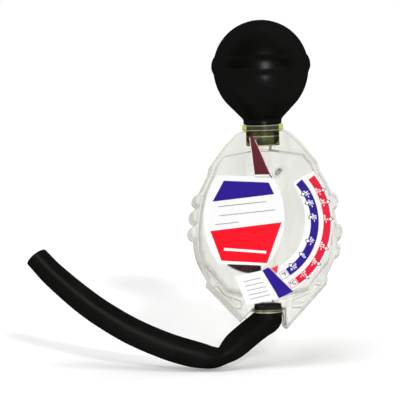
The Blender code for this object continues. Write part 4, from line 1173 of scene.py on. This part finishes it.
class TESTER_OT_labels(Operator):
    """Gives the labels their vinyl and prints the dial and the colour fields"""
    bl_idname = "tester.labels"
    bl_label = "Labels and dial"

    def execute(self, context):
        ink = context.scene.tester_print
        white = printed_vinyl("Label vinyl, white", ink.white)
        blue = printed_vinyl("Screen ink, blue", ink.blue)
        red = printed_vinyl("Screen ink, red", ink.red)
        band_red = printed_vinyl("Screen ink, crimson", ink.band_red)
        black = printed_vinyl("Screen ink, black", ink.black)
        grey = printed_vinyl("Screen ink, grey", ink.rule)
        maroon = printed_vinyl("Polyester film, dark red", ink.maroon)
        border = printed_vinyl("Label vinyl, pink-white", ink.border)
        for node, material in (
                ("title_label", white), ("scale_label", white), ("info_label", white),
                ("caption_strip", blue)):
            paint(nodes[node], material)

        blue_print = bmesh.new()
        add_ink(blue_print, BLUE_FIELD, FIELD_LAYER)
        add_band(blue_print, *BLUE_BAND, FIELD_LAYER)
        finish_mesh("blue_print", blue_print, blue)

        red_field = bmesh.new()
        add_ink(red_field, RED_FIELD, FIELD_LAYER)
        finish_mesh("red_field", red_field, red)

        red_scale = bmesh.new()
        add_band(red_scale, *RED_BAND, FIELD_LAYER)
        self.frame_box(red_scale, *RED_BOX)
        finish_mesh("red_scale", red_scale, band_red)

        figures = bmesh.new()
        outlines = bmesh.new()
        for marks, middle, edge, outward in SCALES:
            for number, angle, tick_angle in marks:
                add_words(
                    figures, number, ink.digit_size, middle, angle, FIGURE_LAYER,
                    ink.digit_boldness, ink.digit_width)
                self.tick(figures, outlines, ink, edge, outward, tick_angle)
        for start, end, width in WHITE_BARS:
            add_rule(figures, start, end, width, LINE_LAYER)
        finish_mesh("white_figures", figures, white)

        film = bmesh.new()
        add_sheet(film, LEVEL_FILM, PLATE_BACK_Y, PLATE_BACK_Y - LABEL_FACE_Y)
        add_ink(film, LEVEL_TAIL, LINE_LAYER)
        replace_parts(finish_mesh("level_film", film, maroon), "level_mark")
        edges = bmesh.new()
        for start, end, width in FILM_EDGES:
            add_rule(edges, start, end, width, FIELD_LAYER)
        finish_mesh("film_edges", edges, border)

        rules = bmesh.new()
        for start, end, width in TITLE_RULES:
            add_rule(rules, start, end, width, LINE_LAYER)
        for share in INFO_SHARES:
            left, right = [top.lerp(foot, share) for top, foot in (INFO_LEFT, INFO_RIGHT)]
            start, end = [left.lerp(right, margin) for margin in INFO_MARGINS]
            add_rule(rules, start, end, INFO_RULE, LINE_LAYER)
        finish_mesh("write_on_lines", rules, grey)

        self.frame_box(outlines, *BLUE_BOX)
        for sign, radius, angle in UNIT_SIGNS:
            add_words(
                outlines, sign, ink.unit_size, radius, angle, LINE_LAYER, ink.unit_boldness)
        start, end, width = FILL_LINE
        add_rule(outlines, start, end, width, LINE_LAYER)
        finish_mesh("thin_lines", outlines, black)
        return {"FINISHED"}

    def tick(self, figures, outlines, ink, edge, outward, angle):
        """White diamond tick on the edge of a band, outlined where it lies off the band."""
        across = math.degrees(ink.tick / edge)
        add_ink(figures, [
            dial_point(edge + outward * ink.tick, angle), dial_point(edge, angle + across),
            dial_point(edge - outward * ink.tick, angle), dial_point(edge, angle - across)],
            FIGURE_LAYER)
        reach = ink.tick + ink.tick_outline * TICK_MITRE
        wide = math.degrees(reach / edge)
        add_ink(outlines, [
            dial_point(edge + outward * reach, angle), dial_point(edge, angle + wide),
            dial_point(edge, angle - wide)], LINE_LAYER)

    def frame_box(self, form, inner, outer, start, end, width):
        """Outline of a small box on the dial, as four thin lines."""
        corners = [
            dial_point(inner, start), dial_point(outer, start), dial_point(outer, end),
            dial_point(inner, end)]
        for first, second in zip(corners, corners[1:] + corners[:1]):
            add_rule(form, first, second, width, LINE_LAYER)


class TESTER_OT_stage(Operator):
    """Builds the floor, the lamps and the world"""
    bl_idname = "tester.stage"
    bl_label = "Stage"

    def execute(self, context):
        stage = context.scene.tester_stage
        self.floor(context, stage)
        self.sun(
            context, "right_light", azimuth=18.0, elevation=23.0, spread=4.0,
            strength=stage.right_sun)
        self.sun(
            context, "left_light", azimuth=-60.0, elevation=40.0, spread=22.0,
            strength=stage.left_sun)
        self.sun(
            context, "top_light", azimuth=-8.0, elevation=58.0, spread=34.0,
            strength=stage.top_sun)
        self.strip(context, stage)
        self.world(context, stage)
        context.scene.view_settings.view_transform = "Standard"
        return {"FINISHED"}

    def floor(self, context, stage):
        """Sheet of white paper: seen, it glows a little, and to other rays it is plain paper."""
        form = bmesh.new()
        bmesh.ops.create_grid(form, x_segments=1, y_segments=1, size=FLOOR_REACH)
        bmesh.ops.translate(
            form, verts=form.verts,
            vec=(0.0, FLOOR_REACH - stage.floor_front, stage.floor_height))
        mesh = bpy.data.meshes.new("floor")
        form.to_mesh(mesh)
        form.free()
        floor = bpy.data.objects.new("floor", mesh)
        context.scene.collection.objects.link(floor)
        material, tree, output = start_material("White paper sweep")
        paper = add_node(tree, "ShaderNodeBsdfDiffuse", inputs={
            "Color": (0.8, 0.8, 0.8, 1.0)}).outputs["BSDF"]
        glow = add_node(tree, "ShaderNodeEmission", inputs={
            "Color": (1.0, 1.0, 1.0, 1.0), "Strength": stage.floor_glow}).outputs["Emission"]
        shaded = add_node(tree, "ShaderNodeBsdfDiffuse", inputs={
            "Color": (stage.floor_shade, stage.floor_shade, stage.floor_shade, 1.0),
            }).outputs["BSDF"]
        lit = add_node(tree, "ShaderNodeAddShader", inputs={0: glow, 1: shaded}).outputs["Shader"]
        ray = add_node(tree, "ShaderNodeLightPath")
        bent = add_node(tree, "ShaderNodeMath", {"operation": "MAXIMUM"}, {
            0: ray.outputs["Is Glossy Ray"], 1: ray.outputs["Is Transmission Ray"]}).outputs[0]
        seen = add_node(tree, "ShaderNodeMath", {"operation": "MAXIMUM"}, {
            0: ray.outputs["Is Camera Ray"], 1: bent}).outputs[0]
        mixed = add_node(tree, "ShaderNodeMixShader", inputs={
            0: seen, 1: paper, 2: lit}).outputs["Shader"]
        tree.links.new(mixed, output.inputs["Surface"])
        mesh.materials.append(material)

    def sun(self, context, name, azimuth, elevation, spread, strength):
        """Broad even light without glints: its turn to the dial's right, height and spread."""
        lamp = bpy.data.lights.new(name, "SUN")
        lamp.energy = strength
        lamp.angle = math.radians(spread)
        holder = bpy.data.objects.new(name, lamp)
        holder.visible_glossy = False
        side, rise = math.radians(azimuth), math.radians(elevation)
        way = Vector((
            math.sin(side) * math.cos(rise), -math.cos(side) * math.cos(rise), math.sin(rise)))
        holder.rotation_euler = (-way).to_track_quat("-Z", "Y").to_euler()
        context.scene.collection.objects.link(holder)

    def strip(self, context, stage):
        """Tall narrow lamp beside the camera, seen in glints and reflections alone."""
        lamp = bpy.data.lights.new("strip_lamp", "AREA")
        lamp.shape = "RECTANGLE"
        lamp.size, lamp.size_y = STRIP_SIZE
        lamp.energy = stage.strip_power
        holder = bpy.data.objects.new("strip_lamp", lamp)
        holder.visible_diffuse = False
        holder.location = STRIP_PLACE
        holder.rotation_euler = (STRIP_AIM - STRIP_PLACE).to_track_quat("-Z", "Y").to_euler()
        context.scene.collection.objects.link(holder)

    def world(self, context, stage):
        """White studio behind the object and below, darker on the side of the dial."""
        world = bpy.data.worlds.new("studio")
        world.use_nodes = True
        tree = world.node_tree
        tree.nodes.clear()
        way = add_node(tree, "ShaderNodeSeparateXYZ", inputs={
            "Vector": add_node(tree, "ShaderNodeTexCoord").outputs["Generated"]})
        ahead = add_node(tree, "ShaderNodeMapRange", {"interpolation_type": "SMOOTHSTEP"}, {
            "Value": way.outputs["Y"], "From Min": 0.10, "From Max": -0.35}).outputs["Result"]
        above = add_node(tree, "ShaderNodeMapRange", {"interpolation_type": "SMOOTHSTEP"}, {
            "Value": way.outputs["Z"], "From Min": -0.26, "From Max": -0.15}).outputs["Result"]
        front = add_node(tree, "ShaderNodeMath", {"operation": "MULTIPLY"}, {
            0: ahead, 1: above}).outputs[0]
        ray = add_node(tree, "ShaderNodeLightPath")
        bent = add_node(tree, "ShaderNodeMath", {"operation": "MAXIMUM"}, {
            0: ray.outputs["Is Glossy Ray"], 1: ray.outputs["Is Transmission Ray"]}).outputs[0]
        behind = add_node(tree, "ShaderNodeMapRange", inputs={
            "Value": bent, "To Min": stage.world_back, "To Max": 1.0}).outputs["Result"]
        level = add_node(tree, "ShaderNodeMapRange", inputs={
            "Value": front, "To Min": behind, "To Max": stage.world_front}).outputs["Result"]
        seen = add_node(tree, "ShaderNodeMix", {"data_type": "FLOAT"}, {
            0: ray.outputs["Is Camera Ray"], 2: level, 3: 1.0}).outputs[0]
        background = add_node(tree, "ShaderNodeBackground", inputs={
            "Color": (1.0, 1.0, 1.0, 1.0), "Strength": seen}).outputs["Background"]
        add_node(tree, "ShaderNodeOutputWorld", inputs={"Surface": background})
        context.scene.world = world


class TESTER_PT_panel(Panel):
    """Lists the tester's pieces in the sidebar"""
    bl_idname = "TESTER_PT_panel"
    bl_label = "Antifreeze tester"
    bl_space_type = "VIEW_3D"
    bl_region_type = "UI"
    bl_category = "Tester"

    def draw(self, context):
        for operator in OPERATORS:
            self.layout.operator(operator.bl_idname)


GROUPS = (
    ("tester_body", TesterBody), ("tester_bulb", TesterBulb), ("tester_hose", TesterHose),
    ("tester_print", TesterPrint), ("tester_stage", TesterStage),
)
OPERATORS = (
    TESTER_OT_camera, TESTER_OT_hose, TESTER_OT_bulb, TESTER_OT_seal, TESTER_OT_body,
    TESTER_OT_labels, TESTER_OT_stage,
)


def register():
    """Adds the classes, and the sizes and colours to the scene."""
    for _, group in GROUPS:
        bpy.utils.register_class(group)
    for operator in OPERATORS:
        bpy.utils.register_class(operator)
    bpy.utils.register_class(TESTER_PT_panel)
    for name, group in GROUPS:
        setattr(bpy.types.Scene, name, PointerProperty(type=group))


def unregister():
    """Takes out again what register adds."""
    for name, group in GROUPS:
        delattr(bpy.types.Scene, name)
        bpy.utils.unregister_class(group)
    for operator in OPERATORS:
        bpy.utils.unregister_class(operator)
    bpy.utils.unregister_class(TESTER_PT_panel)


def main():
    """Builds the dressed tester."""
    register()
    bpy.ops.tester.camera()
    bpy.ops.tester.hose()
    bpy.ops.tester.bulb()
    bpy.ops.tester.seal()
    bpy.ops.tester.body()
    bpy.ops.tester.labels()
    bpy.ops.tester.stage()


if __name__ == "__main__":
    main()
